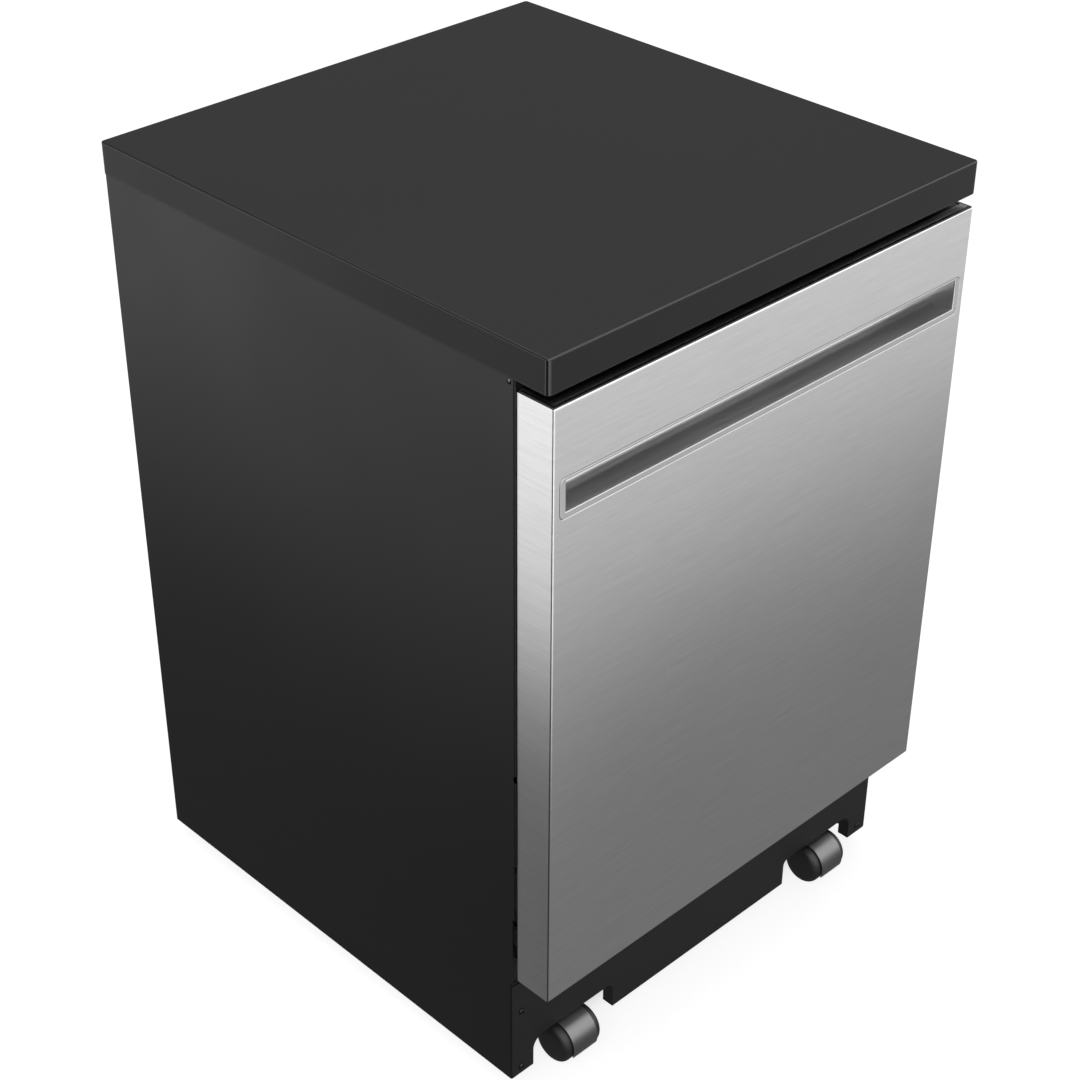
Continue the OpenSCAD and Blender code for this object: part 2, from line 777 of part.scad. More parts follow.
valve_x = -in_x + 90.25;
valve_in = 160;
valve_w = 44;
valve_t = 28;
valve_h = 30;
coil_d = 26;
coil_h = 36;
inlet_d = 24;
inlet_l = 20;

module inlet_valve() {
    y = back_y - valve_in;
    color("#d8d8d4") {
        block(valve_x - valve_w / 2, valve_x + valve_w / 2, y - valve_t / 2, y + valve_t / 2,
            pan_top, pan_top + valve_h);
        rod_z(pan_top + valve_h - 1, pan_top + valve_h + coil_h, valve_x, y, coil_d);
        rod_y(y + valve_t / 2 - 1, y + valve_t / 2 + inlet_l, valve_x, pan_top + valve_h / 2 + 1,
            inlet_d);
    }
}

// ---------- Slides of the upper rack ----------

rail_z = upper_rack_z + 46;
rail_t = 2;
rail_in = 9;
shoe_in = 29;
shoe_pitch = 68;
shoe_y = [tub_y0 + shoe_in, tub_y0 + shoe_in + shoe_pitch];
bracket_rim = 12;
bracket_h = 36;
rail_x = rack_w / 2;
rail_flange = 12;
bracket_t = 4;

module rack_brackets() {
    x1 = tub_x - tub_t;
    color("#dcdcda") both_sides() {
        block(x1 - bracket_t, x1, shoe_y[0] - bracket_rim, shoe_y[1] + bracket_rim,
            rail_z - bracket_h / 2, rail_z + bracket_h / 2);
        for (y = shoe_y)
            rod_x(rail_x + rail_t + move_gap, x1 - bracket_t + 0.5, y, rail_z,
                2 * (rail_in - move_gap));
    }
}

module upper_rack_rails() {
    color("#c9cbcc") both_sides() difference() {
        block(rail_x, rail_x + rail_flange, upper_y0, upper_y0 + rack_d + 8,
            rail_z - rail_in - rail_t, rail_z + rail_in + rail_t);
        block(rail_x + rail_t, rail_x + rail_flange + 1, upper_y0 - 1, upper_y0 + rack_d + 9,
            rail_z - rail_in, rail_z + rail_in);
    }
}

// ---------- Latch and hinge, cabinet side ----------

strike_z = door_z1 - 11;
strike_y = door_y1 + 2.2;
strike_d = 4;
strike_x = 6;
strike_ear = [2, 8];
strike_plate = [32, 1.2];

module latch_strike() {
    color("#c9cbcc") {
        block(-strike_plate[0] / 2, strike_plate[0] / 2, post_y - strike_plate[1], post_y,
            strike_z - 5, strike_z + 12);
        for (side = [-strike_x, strike_x])
            block(side - strike_ear[0] / 2, side + strike_ear[0] / 2, strike_y - strike_d / 2,
                post_y - strike_plate[1] / 2, strike_z - strike_ear[1] / 2,
                strike_z + strike_ear[1] / 2);
        rod_x(-strike_x, strike_x, strike_y, strike_z, strike_d);
    }
}

// The plates that carry the door: one stands beside each side of the tub
plate_t = 3;
arm_plate = 4;
plate_in = 12.6;
arm_gap_x = 0.7;
bracket_x = in_x - plate_in;
arm_x = bracket_x - arm_gap_x - arm_plate;
arm_pin_x = bracket_x + plate_t + 3;
ear_r = 8;
arm_r = 9;
foot_in = 16.5;
foot_w = 25.5;
foot_t = 2;
foot_y = [post_y + foot_in, post_y + foot_in + foot_w];
foot_x = tub_x + 4;
spring_reach = 14;
spring_rise = 32;
spring_l = 226;
spring_d = 14;
spring_wire = 2.4;
spring_pin_d = 3;
spring_hook = [24, 28];
anchor_w = 16;
anchor_rim = 8;
hook_r = 6;
spring_y = hinge_y + spring_reach;
spring_z = hinge_z + spring_rise;
spring_y1 = spring_y + spring_l + hook_r;
anchor_y = spring_y1 - hook_r;

module hinge_brackets() {
    color("#8d8f91") both_sides() {
        difference() {
            union() {
                along_x(bracket_x, bracket_x + plate_t) polygon(concat(
                    arc([hinge_y, hinge_z], ear_r, 90, 270, 8),
                    [[foot_y[0], hinge_z - ear_r], [foot_y[0], pan_top], [foot_y[1], pan_top],
                     [foot_y[1], hinge_z + ear_r]]));
                block(foot_x, bracket_x + plate_t, foot_y[0], foot_y[1], pan_top, pan_top + foot_t);
            }
            rod_x(bracket_x - 1, bracket_x + plate_t + 1, hinge_y, hinge_z,
                hinge_pin_d + 2 * run_fit);
        }
        difference() {
            union() {
                block(arm_x, arm_x + arm_plate, anchor_y, anchor_y + anchor_w, pan_top,
                    spring_z + anchor_rim);
                block(foot_x, arm_x + arm_plate, anchor_y, anchor_y + anchor_w, pan_top,
                    pan_top + foot_t);
            }
            rod_x(arm_x - 1, arm_x + arm_plate + 1, spring_y1, spring_z, spring_pin_d + 0.4);
        }
    }
}

// Each spring's coil with a pin and two hooks at each end
module door_springs() {
    x = arm_x + arm_plate / 2;
    y0 = spring_y + spring_hook[0];
    y1 = spring_y1 - spring_hook[1];
    hook_x = arm_plate / 2 + spring_wire / 2 + 0.2;
    color("#9a9c9e") both_sides() {
        rod_y(y0, y1, x, spring_z, spring_d);
        for (y = [spring_y, spring_y1])
            rod_x(x - hook_x - 0.6, x + hook_x + 0.6, y, spring_z, spring_pin_d);
        for (side = [-hook_x, hook_x]) {
            rod_y(spring_y - 1, y0 + 1, x + side, spring_z, spring_wire);
            rod_y(y1 - 1, spring_y1 + 1, x + side, spring_z, spring_wire);
        }
    }
}

// ---------- Door ----------

door_x = door_w / 2;
skin_in = door_x - skin_t;
return_w = 20;
top_return = 12;
inner_y = skin_y + skin_t;
liner_x = skin_in - 0.4;
liner_low = hinge_z + 12;
liner_top = tub_top + 14;
liner_lip = 12;
arm_top = hinge_z + 150;
handle_r = 6;

module door_skin() {
    r = 2;
    color("#c6c8ca") difference() {
        union() {
            along_z(door_z0, door_z1) difference() {
                polygon(concat([[-door_x, door_y1]], arc([-door_x + r, skin_y + r], r, 180, 270, 4),
                    arc([door_x - r, skin_y + r], r, 270, 360, 4), [[door_x, door_y1]]));
                polygon(concat([[-skin_in, door_y1 + 1]],
                    arc([-door_x + r, skin_y + r], r - skin_t, 180, 270, 4),
                    arc([door_x - r, skin_y + r], r - skin_t, 270, 360, 4),
                    [[skin_in, door_y1 + 1]]));
            }
            block(-skin_in - 0.2, skin_in + 0.2, skin_y + 0.4, skin_y + top_return,
                door_z1 - skin_t, door_z1);
            block(-skin_in - 0.2, skin_in + 0.2, skin_y + 0.4, skin_y + return_w,
                door_z0, door_z0 + skin_t);
        }
        along_y(door_y0 - 1, skin_y + 3) polygon(rounded(-handle_w - 0.2, handle_z - 0.2,
            handle_w + 0.2, handle_z + handle_h + 0.2, handle_r + 0.2));
    }
}

// Section of the finger space seen from the side, grown by g: a lip that slopes down, a wide
// and a tight curve that turn up into the back wall, and a roof behind the upper strip
lip_slope = 16;
floor_r = 42;
scoop_r = 11;
scoop_rise = 8;
lip_drop = 1;
lip_bevel = 1.2;
roof_rise = 15;
strip_t = 5;
finger_lip = handle_z + handle_low_strip;
finger_top = handle_z + handle_h - handle_top_strip;
function finger_space(g) = let (
    back = door_y0 + handle_d,
    turn = 270 + scoop_rise,
    start = 270 - lip_slope,
    floor_y = back - scoop_r - (floor_r - scoop_r) * cos(turn),
    run = floor_y + floor_r * cos(start) - door_y0,
    floor_z = finger_lip - lip_drop - run * tan(lip_slope) - floor_r * sin(start),
    scoop_z = floor_z + (floor_r - scoop_r) * sin(turn),
    roof = finger_top + roof_rise,
    front = door_y0 + strip_t,
    edge = g > 0 ? 0.8 : -1
) concat(
    [[door_y0 + edge, finger_lip - lip_drop - edge * tan(lip_slope) - g / cos(lip_slope)]],
    arc([floor_y, floor_z], floor_r + g, start, turn, 5),
    arc([back - scoop_r, scoop_z], scoop_r + g, turn, 360, 7),
    arc([back - scoop_r, roof - scoop_r], scoop_r + g, 0, 90),
    [[front - g, roof + g], [front - g, finger_top + (g > 0 ? -0.5 : 0)],
     [door_y0 + edge, finger_top + (g > 0 ? 0.5 : 0)]]);

module handle_pocket() {
    open_x = handle_w - handle_end_strip;
    color("#a9abad") difference() {
        union() {
            along_y(door_y0, inner_y + 0.6) polygon(rounded(-handle_w, handle_z, handle_w,
                handle_z + handle_h, handle_r));
            along_x(-open_x - handle_wall, open_x + handle_wall) polygon(finger_space(handle_wall));
        }
        along_x(-open_x, open_x) polygon(finger_space(0));
        // Bevel that leads from the lower strip into the finger space
        along_x(-open_x, open_x) polygon([[door_y0 - 1, finger_lip],
            [door_y0 - 1, finger_lip - lip_drop - 2 * lip_bevel],
            [door_y0 + lip_bevel, finger_lip - lip_drop]]);
    }
}

dispenser_x = 84;
dispenser_z = [473, 587];
cup_x = [-78, 6];
cup_depth = 24;
lid_t = 2.4;
cap_x = 46;
cap_d = 42;
cap_z = (dispenser_z[0] + dispenser_z[1]) / 2;
field_y = liner_y + field_h;

module door_liner() {
    color("#bcbec0") difference() {
        union() {
            block(-liner_x, liner_x, liner_y - liner_t, liner_y, liner_low, liner_top);
            block(-liner_x, liner_x, liner_y - liner_lip, liner_y, liner_low, liner_low + liner_t);
            both_sides() block(liner_x - liner_t, liner_x, liner_y - liner_lip, liner_y,
                arm_top + 2, liner_top - 12);
            along_y(liner_y - liner_t, field_y)
                polygon(rounded(-field_w, ledge_z + 30, field_w, tub_top - 40, 30));
        }
        along_y(liner_y - liner_t - 1, field_y - liner_t) polygon(rounded(-field_w + liner_t,
            ledge_z + 30 + liner_t, field_w - liner_t, tub_top - 40 - liner_t, 30 - liner_t));
        // The hinge arms stand in these corners
        both_sides() block(arm_x - 4, side_x, liner_y - 20, liner_y + 1, 0, arm_top);
        block(-dispenser_x, dispenser_x, liner_y - 5, field_y + 1, dispenser_z[0], dispenser_z[1]);
        block(-claw_gap, claw_gap, liner_y - 5, liner_y + 1, strike_z - 26, liner_top + 1);
    }
}

con_top = door_z1 - skin_t;
con_low = door_z1 - console_h;
con_y1 = liner_y - liner_t - 0.4;
button_in = 96.85;
button_x0 = -door_x + button_in;
button_y = (skin_y + top_return + con_y1) / 2;
button_e = 0.4;
function button_x(i) = button_x0 + i * button_pitch;

module console() {
    x = skin_in - sheet_gap - 0.1;
    y0 = inner_y + sheet_gap + 0.1;
    color("#1f1f21") difference() {
        block(-x, x, y0, con_y1, con_low, con_top);
        block(-x + console_wall, x - console_wall, y0 + console_wall, con_y1 - console_wall,
            con_low - 1, con_top - console_wall);
        for (i = [0:4])
            along_z(con_top - console_wall - 1, con_top + 1) translate([button_x(i), button_y])
                polygon(rounded(-button_l / 2, -button_d / 2, button_l / 2, button_d / 2, 3, 4));
        block(-claw_gap, claw_gap, con_y1 - 10, con_y1 + 1, con_low - 1, con_top - console_wall);
        block(-claw_gap, claw_gap, con_y1 - 4, con_y1 + 1, con_low - 1, con_top + 1);
    }
}

// A push button with the flange that keeps it in the console
module button(i) {
    color("#2c2d30") translate([button_x(i), button_y, 0]) {
        along_z(con_top - console_wall - 1.2, con_top + 0.7)
            polygon(rounded(-button_l / 2 + button_e, -button_d / 2 + button_e,
                button_l / 2 - button_e, button_d / 2 - button_e, 3 - button_e, 4));
        along_z(con_top - console_wall - 2.2, con_top - console_wall - button_e)
            polygon(rounded(-button_l / 2 - 1.5, -button_d / 2 - 1.5,
                button_l / 2 + 1.5, button_d / 2 + 1.5, 3, 4));
    }
}

arm_reach = 74;
arm_tab = [16, 2];

module hinge_arms() {
    color("#8d8f91") both_sides() {
        difference() {
            union() {
                along_x(arm_x, arm_x + arm_plate) polygon(concat(
                    arc([hinge_y, hinge_z], arm_r, 180, 360, 8),
                    [[hinge_y + arm_r, spring_z - hook_r - 1]],
                    arc([spring_y, spring_z], hook_r, -60, 90, 5),
                    [[hinge_y + arm_r, spring_z + 2 * hook_r], [hinge_y + arm_r, arm_top + arm_reach],
                     [hinge_y - arm_r, arm_top + arm_reach]]));
                block(arm_x - arm_tab[0], arm_x + 1, liner_y - liner_t - arm_tab[1],
                    liner_y - liner_t, arm_top + 6, arm_top + arm_reach);
            }
            rod_x(arm_x - 1, arm_x + arm_plate + 1, spring_y, spring_z, spring_pin_d + 0.4);
        }
        rod_x(arm_x + arm_plate - 1, arm_pin_x, hinge_y, hinge_z, hinge_pin_d);
    }
}

module dispenser_body() {
    rim = 8;
    face = field_y + 3;
    back = face - cup_depth - 2.5;
    color("#d9dad8") difference() {
        union() {
            along_y(field_y, face) polygon(rounded(-dispenser_x - rim, dispenser_z[0] - rim,
                dispenser_x + rim, dispenser_z[1] + rim, 10));
            along_y(back, field_y + 0.5) polygon(rounded(-dispenser_x + 0.5, dispenser_z[0] + 0.5,
                dispenser_x - 0.5, dispenser_z[1] - 0.5, 6));
        }
        along_y(face - cup_depth, face + 1) polygon(rounded(cup_x[0], dispenser_z[0] + 10,
            cup_x[1], dispenser_z[1] - 10, 8));
        rod_y(face - 16, face + 1, cap_x, cap_z, cap_d - 6 + 2 * run_fit);
    }
}

module dispenser_lid() {
    y0 = field_y + 3 + move_gap;
    color("#c7c9cb") {
        along_y(y0, y0 + lid_t) polygon(rounded(cup_x[0] - 4, dispenser_z[0] + 6,
            cup_x[1] + 4, dispenser_z[1] - 6, 8));
        for (i = [-2:2])
            block((cup_x[0] + cup_x[1]) / 2 - 20, (cup_x[0] + cup_x[1]) / 2 + 20,
                y0 + lid_t - 0.5, y0 + lid_t + 1, cap_z + i * 5 - 1, cap_z + i * 5 + 1);
    }
}

module rinse_cap() {
    face = field_y + 3;
    color("#5e6063") {
        rod_y(face - 12, face + 1, cap_x, cap_z, cap_d - 6);
        rod_y(face + move_gap, face + 3, cap_x, cap_z, cap_d);
        block(cap_x - 2.5, cap_x + 2.5, face + 2, face + 6, cap_z - cap_d / 2 + 4,
            cap_z + cap_d / 2 - 4);
    }
}

claw_gap = 12;
claw_y = strike_y - 22;
claw_w = 6;
claw_r = 7;

module latch_body() {
    color("#2a2b2d") difference() {
        block(-18, 18, claw_y - 16, con_y1 - console_wall - 1, con_low + 1, con_top - console_wall);
        block(-claw_w / 2 - 0.6, claw_w / 2 + 0.6, claw_y - 12, con_y1, con_low, con_top);
    }
    color("#9a9c9e") rod_x(-10, 10, claw_y, strike_z, 5);
}

// A fork whose mouth faces back and holds the strike's bar
module latch_claw() {
    tip = strike_y + 2.4;
    mouth = strike_d / 2 + 1.6;
    color("#e2e2df") difference() {
        along_x(-claw_w / 2, claw_w / 2) polygon(concat(
            arc([claw_y, strike_z], claw_r, 90, 270, 8),
            [[tip - 2, strike_z - mouth - 3], [tip, strike_z - mouth - 1],
             [tip - 6, strike_z - mouth], [strike_y - 4, strike_z - mouth]],
            [[strike_y - 5.5, strike_z]],
            [[strike_y - 4, strike_z + mouth], [tip - 6, strike_z + mouth],
             [tip, strike_z + mouth + 1], [tip - 2, strike_z + mouth + 3]]));
        rod_x(-claw_w, claw_w, claw_y, strike_z, 5 + 2 * run_fit);
    }
}

module door_bottom_seal() {
    color("#3a3b3d") block(-tub_x + 6, tub_x - 6, liner_y, liner_y + 3.4, liner_low, liner_low + 9);
}

// ---------- Racks ----------

// One straight wire of a rack, as an eight-sided rod between two points on an axis
module wire_x(x0, x1, y, z, d) translate([x0, y, z]) rotate([0, 90, 0])
    rotate(22.5) cylinder(h = x1 - x0, d = d, $fn = 8);
module wire_y(y0, y1, x, z, d) translate([x, y1, z]) rotate([90, 0, 0])
    rotate(22.5) cylinder(h = y1 - y0, d = d, $fn = 8);
module wire_z(z0, z1, x, y, d) translate([x, y, z0])
    rotate(22.5) cylinder(h = z1 - z0, d = d, $fn = 8);

// Even places for wires from a to b, no further apart than the pitch
function places(a, b) = let (n = ceil((b - a) / wire_pitch)) [for (i = [0:n]) a + (b - a) * i / n];
function inner(list) = [for (i = [1:len(list) - 2]) list[i]];

// Floor of a basket: an edge frame and a grid of wires, all in one plane
module basket_floor(x, y0, y1, z) {
    for (y = [y0, y1]) wire_x(-x - wire_d / 2, x + wire_d / 2, y, z, wire_d);
    for (side = [-x, x]) wire_y(y0, y1, side, z, wire_d);
    for (at = inner(places(-x, x))) wire_y(y0, y1, at, z, wire_d);
    for (at = inner(places(y0, y1))) wire_x(-x, x, at, z, wire_d);
}

// A side of a basket that runs along Y, and one that runs along X
module basket_side(x, y0, y1, z0, z1) {
    low = z0 + wire_d + hairline;
    wire_y(y0, y1, x, z1 - edge_d / 2, edge_d);
    wire_y(y0, y1, x, (z0 + z1) / 2, wire_d);
    for (at = places(y0 + edge_d, y1 - edge_d)) wire_z(low, z1 - edge_d / 2, x, at, wire_d);
}
module basket_end(y, x, z0, z1) {
    low = z0 + wire_d + hairline;
    reach = x - edge_d / 2 - hairline;
    wire_x(-reach, reach, y, z1 - edge_d / 2, edge_d);
    wire_x(-reach, reach, y, (z0 + z1) / 2, wire_d);
    for (at = places(-reach + edge_d, reach - edge_d)) wire_z(low, z1 - edge_d / 2, at, y, wire_d);
}

// Floor and four sides; each is a solid of its own, a hairline from the next
module basket(y0, y1, z0, h) {
    x = (rack_w - edge_d) / 2;
    basket_floor(x, y0 + edge_d / 2, y1 - edge_d / 2, z0 + wire_d / 2);
    for (side = [-x, x]) basket_side(side, y0, y1, z0, z0 + h);
    for (y = [y0 + edge_d / 2, y1 - edge_d / 2]) basket_end(y, x, z0, z0 + h);
}

// A row of plate tines that stands on the floor's wires
module tine_row(x, y0, y1, z0, h) {
    z = z0 + wire_d * 1.5 + hairline;
    wire_y(y0, y1, x, z, wire_d);
    for (at = places(y0 + 8, y1 - 8)) wire_z(z, z + h, x, at, wire_d);
}

lower_y0 = upper_y0 + lower_back;
lower_short = 10;
lower_depth = rack_d - lower_short;
lower_rise = 7;
lower_z = ledge_z + rack_wheel_d + lower_rise;
tine_rows = 4;
tine_x0 = -rack_w / 2 + 50;
tine_pitch = 84;
tine_in = 30;
cutlery_w = 96;
cutlery_l = 236;
cutlery_h = 112;
cutlery_x = rack_w / 2 - edge_d - cutlery_w - 6;
cutlery_y = lower_y0 + 20;
rack_axle_d = 6;
rack_axle_z = ledge_z + rack_wheel_d / 2 + 0.3;
rack_wheel_x = field_w + 5;
rack_wheel_w = 9;
rack_axle_y = [lower_y0 + 110, lower_y0 + lower_depth - 70];
leg_x = field_w - 1;

module lower_rack() {
    color("#7f8285") {
        basket(lower_y0, lower_y0 + lower_depth, lower_z, lower_rack_h);
        for (i = [0:tine_rows - 1])
            tine_row(tine_x0 + i * tine_pitch, lower_y0 + tine_in,
                lower_y0 + lower_depth - tine_in, lower_z, tine_h);
    }
    color("#6a6d70") both_sides() for (y = rack_axle_y) {
        block(leg_x, leg_x + 4, y - 13, y + 13, rack_axle_z - 8, lower_z - hairline);
        rod_x(leg_x + 3, rack_wheel_x + rack_wheel_w + 2, y, rack_axle_z, rack_axle_d);
    }
}

// The two wheels that share one line across the rack
module rack_wheels(y) {
    color("#6a6d70") both_sides() translate([rack_wheel_x, y, rack_axle_z]) rotate([0, 90, 0])
        difference() {
            rotate_extrude() polygon([[0, 0], [rack_wheel_d / 2 - 1, 0], [rack_wheel_d / 2, 1],
                [rack_wheel_d / 2, rack_wheel_w - 1], [rack_wheel_d / 2 - 1, rack_wheel_w],
                [rack_wheel_d / 2 - 3, rack_wheel_w], [rack_wheel_d / 2 - 4, rack_wheel_w - 3],
                [rack_axle_d + 1, rack_wheel_w - 3], [rack_axle_d, rack_wheel_w],
                [0, rack_wheel_w]]);
            translate([0, 0, -1]) cylinder(h = rack_wheel_w + 2, d = rack_axle_d + 2 * run_fit);
        }
}
module rack_wheels_front() rack_wheels(rack_axle_y[0]);
module rack_wheels_rear() rack_wheels(rack_axle_y[1]);

module silverware_basket() {
    z0 = lower_z + wire_d + hairline;
    t = 2;
    nx = 2;
    ny = 4;
    dx = (cutlery_w - t) / nx;
    dy = (cutlery_l - t) / ny;
    color("#8b8e91") {
        difference() {
            block(cutlery_x, cutlery_x + cutlery_w, cutlery_y, cutlery_y + cutlery_l,
                z0, z0 + cutlery_h);
            for (i = [0:nx - 1], j = [0:ny - 1])
                block(cutlery_x + t + i * dx, cutlery_x + (i + 1) * dx, cutlery_y + t + j * dy,
                    cutlery_y + (j + 1) * dy, z0 + t, z0 + cutlery_h + 1);
        }
        // Arched handle over the middle wall
        along_x(cutlery_x + (cutlery_w - t) / 2, cutlery_x + (cutlery_w + t) / 2 + 4)
            difference() {
                polygon(rounded(cutlery_y + 60, z0 + cutlery_h - 20, cutlery_y + cutlery_l - 60,
                    z0 + cutlery_h + 60, 16));
                polygon(rounded(cutlery_y + 70, z0 + cutlery_h - 30, cutlery_y + cutlery_l - 70,
                    z0 + cutlery_h + 50, 10));
                translate([cutlery_y, z0 + cutlery_h - 40]) square([cutlery_l, 38]);
            }
    }
}

hub_y = sump_y;
upper_arm_z = dock_z - feed_d / 2 - arm_t - hub_rise - move_gap;
arm_l = 2 * (feed_y - feed_d / 2 - hub_y - arm_gap);
upper_arm_l = arm_l - 2 * arm_short;
feed_pipe_d = 16;
feed_collar_l = 6;
upper_pivot_d = pivot_d - 2;
cap_t = 4.6;
cap_low = upper_arm_z - hub_rise - move_gap - cap_t;
clip_in = [120, 60];
clip_size = [20, 4];
upper_tine_x = rack_w / 2 - 132;

module upper_rack() {
    color("#7f8285") {
        basket(upper_y0, upper_y0 + rack_d, upper_rack_z, upper_rack_h);
        for (side = [-1, 1])
            tine_row(side * upper_tine_x, upper_y0 + tine_in, upper_y0 + rack_d - tine_in,
                upper_rack_z, tine_h * 0.6);
    }
}

module upper_feed_pipe() {
    y1 = feed_y - dock_l - move_gap;
    color("#8f9193") {
        rod_y(hub_y - feed_pipe_d, y1, 0, dock_z, feed_pipe_d);
        rod_y(y1 - feed_collar_l, y1, 0, dock_z, feed_d);
        rod_z(cap_low, dock_z, 0, hub_y, upper_pivot_d);
        rod_z(cap_low, upper_arm_z - hub_rise - move_gap, 0, hub_y, upper_pivot_d + 8);
        for (y = [upper_y0 + clip_in[0], upper_y0 + rack_d - clip_in[1]])
            block(-clip_size[0], clip_size[0], y - clip_size[1], y + clip_size[1], dock_z - 2,
                upper_rack_z - hairline);
    }
}

// Outline of a spray arm from above: two blades that sweep out from a round hub
module arm_outline(l) {
    n = 10;
    side = [for (i = [0:n]) let (u = i / n) [u * (l / 2 - arm_w / 4),
        arm_w / 2 * (1 - 0.42 * u * u) + 4 * sin(u * 180)]];
    low = [for (i = [n:-1:0]) let (u = i / n) [u * (l / 2 - arm_w / 4),
        -arm_w / 2 * (1 - 0.42 * u * u) + 4 * sin(u * 180)]];
    r = arm_w / 2 * 0.58;
    blade = concat(side, arc([l / 2 - arm_w / 4, 0], r, 80, -80, 6), low);
    polygon(blade);
    rotate(180) polygon(blade);
}

module spray_arm(l, z, bore) {
    color("#707376") translate([0, hub_y, 0]) difference() {
        union() {
            along_z(z, z + arm_t) arm_outline(l);
            rod_z(z - hub_rise, z + arm_t + hub_rise, 0, 0, arm_w + 12);
        }
        rod_z(z - hub_rise - 1, z + arm_t + hub_rise + 1, 0, 0, bore + 2 * run_fit);
        for (side = [0, 180], i = [1:4])
            rotate(side) rod_z(z + arm_t - 2, z + arm_t + 1, 34 + i * (l / 2 - 52) / 4, -3 + 2 * i, 4);
    }
}
module lower_spray_arm() spray_arm(arm_l, arm_z, pivot_d);
module upper_spray_arm() spray_arm(upper_arm_l, upper_arm_z, upper_pivot_d);

module float() {
    color("#dcdcda") {
        rod_z(basin_z - 24, basin_z + 6, float_x, float_y, 8);
        translate([0, 0, basin_z + 1]) rod_z(0, 22, float_x, float_y, float_d);
    }
}

// ---------- Casters ----------

// Revolves a profile of radius and place along X about the axle, from angle a0 over a
// sweep; 0 points down, 90 back, 180 up and 270 to the front
module about_axle(a0, sweep) {
    rotate([0, 90, 0]) rotate(a0) rotate_extrude(angle = sweep) children();
}
axle_z = wheel_d / 2;
axle_d = 6;
web_t = 4;
wheel_gap = 0.6;

module caster_hood(x, y) {
    r_in = wheel_d / 2 + hood_gap;
    r_out = r_in + hood_t;
    boss_z = axle_z + 12;
    color("#4b4d4f") translate([x, y, 0]) difference() {
        union() {
            translate([0, -caster_trail, axle_z]) {
                about_axle(112, 180) translate([r_in, -hood_w / 2]) square([hood_t, hood_w]);
                difference() {
                    union() {
                        about_axle(112, 180) translate([4, -web_t / 2]) square([r_out - 4.2, web_t]);
                        rod_x(-web_t / 2, web_t / 2, 0, 0, 15);
                    }
                    rod_x(-web_t, web_t, 0, 0, axle_d + 2 * run_fit);
                }
            }
            // Boss and stem in one turned piece
            translate([0, 0, boss_z]) rotate_extrude() polygon([[0, 0], [10, 0],
                [10, axle_z + r_out - boss_z], [stem_d / 2, axle_z + r_out - boss_z],
                [stem_d / 2, socket_top - 4 - boss_z], [0, socket_top - 4 - boss_z]]);
        }
        // Room for the wheels
        translate([0, -caster_trail, axle_z]) both_sides() rod_x(web_t / 2, hood_w, 0, 0, 2 * r_in);
    }
}

// Both wheels of one caster with their axle; the outer faces are domed
module caster_wheels(x, y) {
    r = wheel_d / 2;
    x0 = web_t / 2 + wheel_gap;
    dome = [for (i = [0:6]) let (a = i * 15) [r - 9 + 9 * cos(a), x0 + wheel_w - 9 + 9 * sin(a)]];
    color("#232324") translate([x, y - caster_trail, axle_z]) {
        both_sides() about_axle(0, 360) polygon(concat([[0, x0], [r - 2, x0], [r, x0 + 2]], dome,
            [[8, x0 + wheel_w - 0.8], [0, x0 + wheel_w - 0.8]]));
        rod_x(-x0 - 1, x0 + 1, 0, 0, axle_d);
    }
}

module caster_hood_fl() caster_hood(-caster_x, caster_y_front);
module caster_hood_fr() caster_hood(caster_x, caster_y_front);
module caster_hood_rl() caster_hood(-caster_x, caster_y_rear);
module caster_hood_rr() caster_hood(caster_x, caster_y_rear);
module caster_wheels_fl() caster_wheels(-caster_x, caster_y_front);
module caster_wheels_fr() caster_wheels(caster_x, caster_y_front);
module caster_wheels_rl() caster_wheels(-caster_x, caster_y_rear);
module caster_wheels_rr() caster_wheels(caster_x, caster_y_rear);

worktop();
side_panel_left();
side_panel_right();
rear_panel();
hose_bay();
access_panel();
rear_glands();
base_pan();
support_frame();
kick_plate();
kick_screws();
tub();
tub_gasket();
insulation_blanket();
sump();
coarse_filter();
heating_element();
feed_tube();
circulation_pump();
drain_pump();
inlet_valve();
rack_brackets();
latch_strike();
hinge_brackets();
door_springs();
door_skin();
handle_pocket();
door_liner();
console();
hinge_arms();
dispenser_body();
latch_body();
door_bottom_seal();
button(0);  // button_1
button(1);  // button_2
button(2);  // button_3
button(3);  // button_4
button(4);  // button_5
latch_claw();
dispenser_lid();
rinse_cap();
upper_rack();
upper_rack_rails();
upper_feed_pipe();
upper_spray_arm();
lower_rack();
silverware_basket();
rack_wheels_front();
rack_wheels_rear();
lower_spray_arm();
fine_filter();
float();
caster_hood_fl();
caster_hood_fr();
caster_hood_rl();
caster_hood_rr();
caster_wheels_fl();
caster_wheels_fr();
caster_wheels_rl();
caster_wheels_rr();
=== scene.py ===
"""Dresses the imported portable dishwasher: finishes, smooth covers, wire racks and small fittings."""

import json
import math

import bmesh
import bpy
from bpy.props import FloatProperty, FloatVectorProperty, PointerProperty
from bpy.types import Operator, Panel, PropertyGroup
from mathutils import Matrix, Vector, noise


